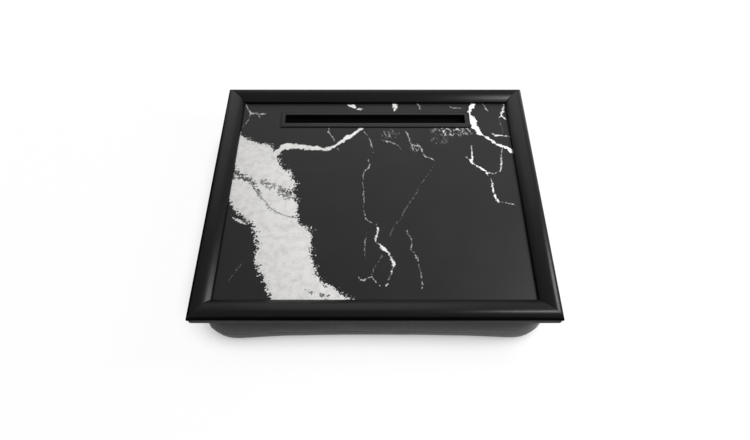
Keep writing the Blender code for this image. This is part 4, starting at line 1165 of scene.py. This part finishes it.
def sewSeam(bm):  # edge loops along the seam, drawn in to a small valley
    level = cushion["seamHeight"]
    for away, depth in cushion["seamLoops"]:
        for height in {level - away, level + away}:
            cutAcross(bm, (0, 0, height), (0, 0, 1), dist=snapping)
    bm.normal_update()
    moves = []
    for vert in bm.verts:
        if abs(vert.normal.z) < 0.8:
            for away, depth in cushion["seamLoops"]:
                if abs(abs(vert.co.z - level) - away) < touching:
                    outward = Vector((vert.normal.x, vert.normal.y, 0)).normalized()
                    moves.append((vert, outward * -depth * (1 - nearZip(vert.co))))
    moveVerts(moves)


def boxUv(mesh):  # lays the cloth's map on from the side that each face looks to, in metres
    layer = mesh.uv_layers.new(name="cloth")
    for face in mesh.polygons:
        axis = max((0, 1, 2), key=lambda a: abs(face.normal[a]))
        first, second = ((1, 2), (0, 2), (0, 1))[axis]
        for corner in face.loop_indices:
            place = mesh.vertices[mesh.loops[corner].vertex_index].co
            layer.data[corner].uv = (place[first], place[second])


def openingBlock(grow, low, high):  # the plan of the zip's opening, as a block between two places along Y
    (reach, rise), level = placket["half"], cushion["seamHeight"]
    start, stop = (-reach - grow, low, level - rise - grow), (reach + grow, high, level + rise + grow)
    return roundedBlock(start, stop, 1, placket["corner"] + grow, 5)


def makeCushion(cloth):
    net = remeshed("bead_filling", cushion["voxel"])
    moveVerts([(vert, vert.normal * cushion["grow"]) for vert in net.data.vertices])
    swell(net)
    change = net.modifiers.new("finer", "SUBSURF")
    change.levels = change.render_levels = 1
    settled(net)
    boxes = ceilingBoxes()
    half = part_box("cover_bottom_cloth")[1]
    shaped = [shapePoint(vert.co, vert.normal, boxes, half) for vert in net.data.vertices]
    for vert, spot in zip(net.data.vertices, shaped):
        vert.co = spot
    net.data.update()
    halves = ["bead_bag_upper", "bead_bag_lower"]
    bag = offsetCopy(net, cushion["bagGap"])
    bag = addPiece("bead_bag", bag, cottonLiner(), "cushion", halves, 180)
    beads = offsetCopy(net, cushion["beadGap"])
    addPiece("beads", beads, foamedBeads(), "cushion", ["bead_filling"], 180)

    bm = bmesh.new()
    bm.from_mesh(net.data)
    bpy.data.objects.remove(net)
    sewSeam(bm)
    bm = carve(bm, openingBlock(0, placket["floor"], placket["level"] + placket["through"]))
    cloths = ["cover_top_cloth", "cover_bottom_cloth"]
    cover = addPiece("cushion_cover", bm, cloth, "cushion", cloths, 50)
    boxUv(cover.data)


def makePlacket(cloth, thread):  # the cover's edges folded round the opening, and their stitches
    top, (reach, rise) = placket["level"] + placket["hemRise"], placket["half"]
    rim = openingBlock(placket["hemWidth"], placket["level"] - mm, top)
    bevelEdges(rim, edgesAt(rim, 1, top), placket["hemRound"], 3)
    rim = carve(rim, openingBlock(0, placket["floor"], top + mm))
    middle = cushion["seamHeight"]
    inner = [e for e in edgesAt(rim, 1, top)
             if all(abs(v.co.x) < reach + mm and abs(v.co.z - middle) < rise + mm for v in e.verts)]
    bevelEdges(rim, inner, placket["hemRound"], 3)
    hem = addPiece("placket_hem", rim, cloth, "cushion", (), 50)
    boxUv(hem.data)

    away = Vector((reach, rise)) + Vector((1, 1)) * placket["hemWidth"] / 2
    level = top - tape["threadRadius"] * tape["threadSunk"]
    back = Matrix.Translation((0, level, middle)) @ Matrix.Rotation(-math.pi / 2, 4, "X")
    route = boxRoute(-away, away, placket["stitchPitch"])
    stitch = stitchShape(tape["stitchLength"], tape["threadRadius"])
    seam = copiesOf(stitch, [back @ placed((*spot, 0), angle) for spot, angle in route])
    addPiece("placket_stitches", seam, thread, "cushion", ())


cloth = wovenPolyester()
makeCushion(cloth)
makePlacket(cloth, thread)
print("cushion made")


# Zip in the back of the cover

zipper = {
    "tapeArris": 0.2 * mm,
    "cordRadius": 0.35 * mm,
    # height and width of a tooth at its bends, in millimetres
    "toothLevels": [(-0.9, 1.5), (-0.2, 1.8), (0.35, 1.15), (0.95, 2.2), (2.5, 2.4)],
    "toothPitch": 4 * mm,
    "toothRound": 0.22 * mm,
    "stopRound": 0.5 * mm,
    "stopSplit": 0.5 * mm,
    "plate": 1.2 * mm,
    "lip": 1.0 * mm,
    "plateCorner": 1.9 * mm,
    "plateRound": 0.45 * mm,
    "bridge": {"inner": 1.6 * mm, "thick": 0.8 * mm, "wide": 2.0 * mm, "spring": 0.6 * mm, "round": 0.2 * mm},
}

pull = {
    "bar": 1.2 * mm,
    "eye": (3.4 * mm, 3.0 * mm),
    "corner": 1.5 * mm,
    "eyeCorner": 0.7 * mm,
    "rim": 1.4 * mm,
    "recess": 0.18 * mm,
    "round": 0.28 * mm,
}


def mouldedAcetal():  # acetal teeth, moulded: hard and slightly waxy
    return cloudedMaterial(
        "mouldedAcetal", 3 * mm, 3, 0.5, ("#111112", "#1e1e20"), (0.3, 0.45), (0.03 * mm, 0.4),
        Specular_IOR_Level=0.4)


def lacqueredZinc():  # die-cast zinc, plated black nickel: dark mirror with fine wear
    return cloudedMaterial(
        "lacqueredZinc", 1.5 * mm, 6, 0.7, ("#4b4c50", "#77787c"), (0.22, 0.4), (0.02 * mm, 0.4),
        Metallic=1.0)


def makeZipTape(label, material):
    low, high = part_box(f"zip_tape_{label}")
    bm = blockBetween(low, high)
    bevelEdges(bm, edgesAlong(bm, 0) + edgesAlong(bm, 2), zipper["tapeArris"], 2)
    radius = zipper["cordRadius"]
    cord = bmesh.ops.create_cone(
        bm, cap_ends=True, segments=12, radius1=radius, radius2=radius, depth=high.x - low.x)["verts"]
    bmesh.ops.rotate(bm, cent=(0, 0, 0), matrix=Matrix.Rotation(math.pi / 2, 3, "Y"), verts=cord)
    edge = low.z + radius if label == "upper" else high.z - radius
    bmesh.ops.translate(bm, vec=(0, high.y, edge), verts=cord)
    addPiece(f"zip_{label}_tape", bm, material, "cushion", [f"zip_tape_{label}"])


def toothShape(low, high):  # a tooth of the upper tape: a broad foot, a neck, and a head past the middle
    levels = [(height * mm, width * mm) for height, width in zipper["toothLevels"]]
    widest = levels[-1][1]
    bm = blockBetween((-widest / 2, low, levels[0][0]), (widest / 2, high, levels[-1][0]))
    for height, width in levels[1:-1]:
        cutAcross(bm, (0, 0, height), (0, 0, 1), dist=snapping)
    for height, width in levels:
        ring = [v for v in bm.verts if abs(v.co.z - height) < touching]
        bmesh.ops.scale(bm, vec=(width / widest, 1, 1), verts=ring)
    front = edgesAt(bm, 1, high)
    tip = [e for e in edgesAt(bm, 2, levels[0][0]) if e not in front]
    bevelEdges(bm, front + tip, zipper["toothRound"], 1)
    return toMesh(bm, "tooth")


def makeTeeth(material):
    low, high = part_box("zip_chain")
    shape = toothShape(low.y, high.y)
    pitch = zipper["toothPitch"]
    middle = Matrix.Translation((0, 0, (low.z + high.z) / 2))
    count = round((high.x - low.x) / pitch)
    upper = [middle @ Matrix.Translation((low.x + pitch * (step + 0.5), 0, 0)) for step in range(count)]
    lower = [middle @ Matrix.Translation((low.x + pitch * step, 0, 0)) for step in range(1, count)]
    turn = Matrix.Rotation(math.pi, 4, "Y")
    teeth = copiesOf(shape, upper + [place @ turn for place in lower])
    addPiece("zip_teeth", teeth, material, "cushion", ["zip_chain"])


def makeStops(material):
    for side, label in (("left", "top"), ("right", "bottom")):
        low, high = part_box(f"zip_stop_{side}")
        bm = blockBetween(low, high)
        if label == "top":  # one on each tape
            middle, half = (low.z + high.z) / 2, zipper["stopSplit"] / 2
            gap = ((low.x - mm, low.y - mm, middle - half), (high.x + mm, high.y + mm, middle + half))
            bm = carve(bm, blockBetween(*gap))
        bevelEdges(bm, edgesAt(bm, 1, high.y), zipper["stopRound"], 3)
        addPiece(f"zip_{label}_stop", bm, material, "cushion", [f"zip_stop_{side}"])


def makeSlider(material):
    low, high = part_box("zip_slider")
    bridge = zipper["bridge"]
    face = high.y - bridge["inner"] - bridge["thick"] - bridge["spring"]
    middle = Vector(((low.x + high.x) / 2, face, (low.z + high.z) / 2))
    front = (high.x, face, high.z)
    bm = roundedBlock(low, front, 1, zipper["plateCorner"], 6, [face], zipper["plateRound"])
    lip, under = zipper["lip"], face - zipper["plate"]
    bm = carve(bm, blockBetween((low.x - mm, low.y - mm, low.z + lip), (high.x + mm, under, high.z - lip)))
    half, outer = bridge["wide"] / 2, bridge["inner"] + bridge["thick"]
    arch = blockBetween((bridge["inner"], -zipper["plate"] / 2, -half), (outer, bridge["spring"], half))
    start = [f for f in arch.faces if f.normal.y > 0.9]
    bend = bmesh.ops.spin(
        arch, geom=start, cent=(0, bridge["spring"], 0), axis=(0, 0, 1), angle=math.pi, steps=12)
    end = [f for f in bend["geom_last"] if isinstance(f, bmesh.types.BMFace)]
    foot = bmesh.ops.extrude_face_region(arch, geom=end)["geom"]
    bmesh.ops.translate(arch, vec=(0, -bridge["spring"] - zipper["plate"] / 2, 0), verts=vertsOf(foot))
    bmesh.ops.recalc_face_normals(arch, faces=arch.faces)
    sharp = [e for side in (-half, half) for e in edgesAt(arch, 2, side)
             if e.is_manifold and e.calc_face_angle() > 1.2]
    bevelEdges(arch, sharp, bridge["round"], 2)
    bmesh.ops.translate(arch, vec=middle, verts=arch.verts)
    addPiece("slider_body", carve(bm, arch, "UNION"), material, "slider", ["zip_slider"], 30)


def makePull(material):
    low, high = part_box("zip_pull")
    middle = (low.z + high.z) / 2
    bm = roundedBlock(low, high, 1, pull["corner"], 6, [low.y, high.y], pull["round"])
    start = low.x + pull["bar"]
    (length, width), corner = pull["eye"], pull["eyeCorner"]
    eye = (start, low.y - mm, middle - width / 2), (start + length, high.y + mm, middle + width / 2)
    bm = carve(bm, roundedBlock(*eye, 1, corner, 4))
    rim, recess = pull["rim"], pull["recess"]
    for first, last in ((low.y - mm, low.y + recess), (high.y - recess, high.y + mm)):
        panel = (start + length + rim, first, low.z + rim), (high.x - rim, last, high.z - rim)
        bm = carve(bm, roundedBlock(*panel, 1, corner, 4))
    addPiece("pull_tab", bm, material, "pull", ["zip_pull"], 30)


def makeZip():
    narrow = wovenTape("polyesterZipTape", ("#0b0b0c", "#1d1d1f"), 1.0 * mm, 0.7 * mm)
    for label in ("upper", "lower"):
        makeZipTape(label, narrow)
    makeTeeth(mouldedAcetal())
    metal = lacqueredZinc()
    makeStops(metal)
    makeSlider(metal)
    makePull(metal)


makeZip()
print("zip made")
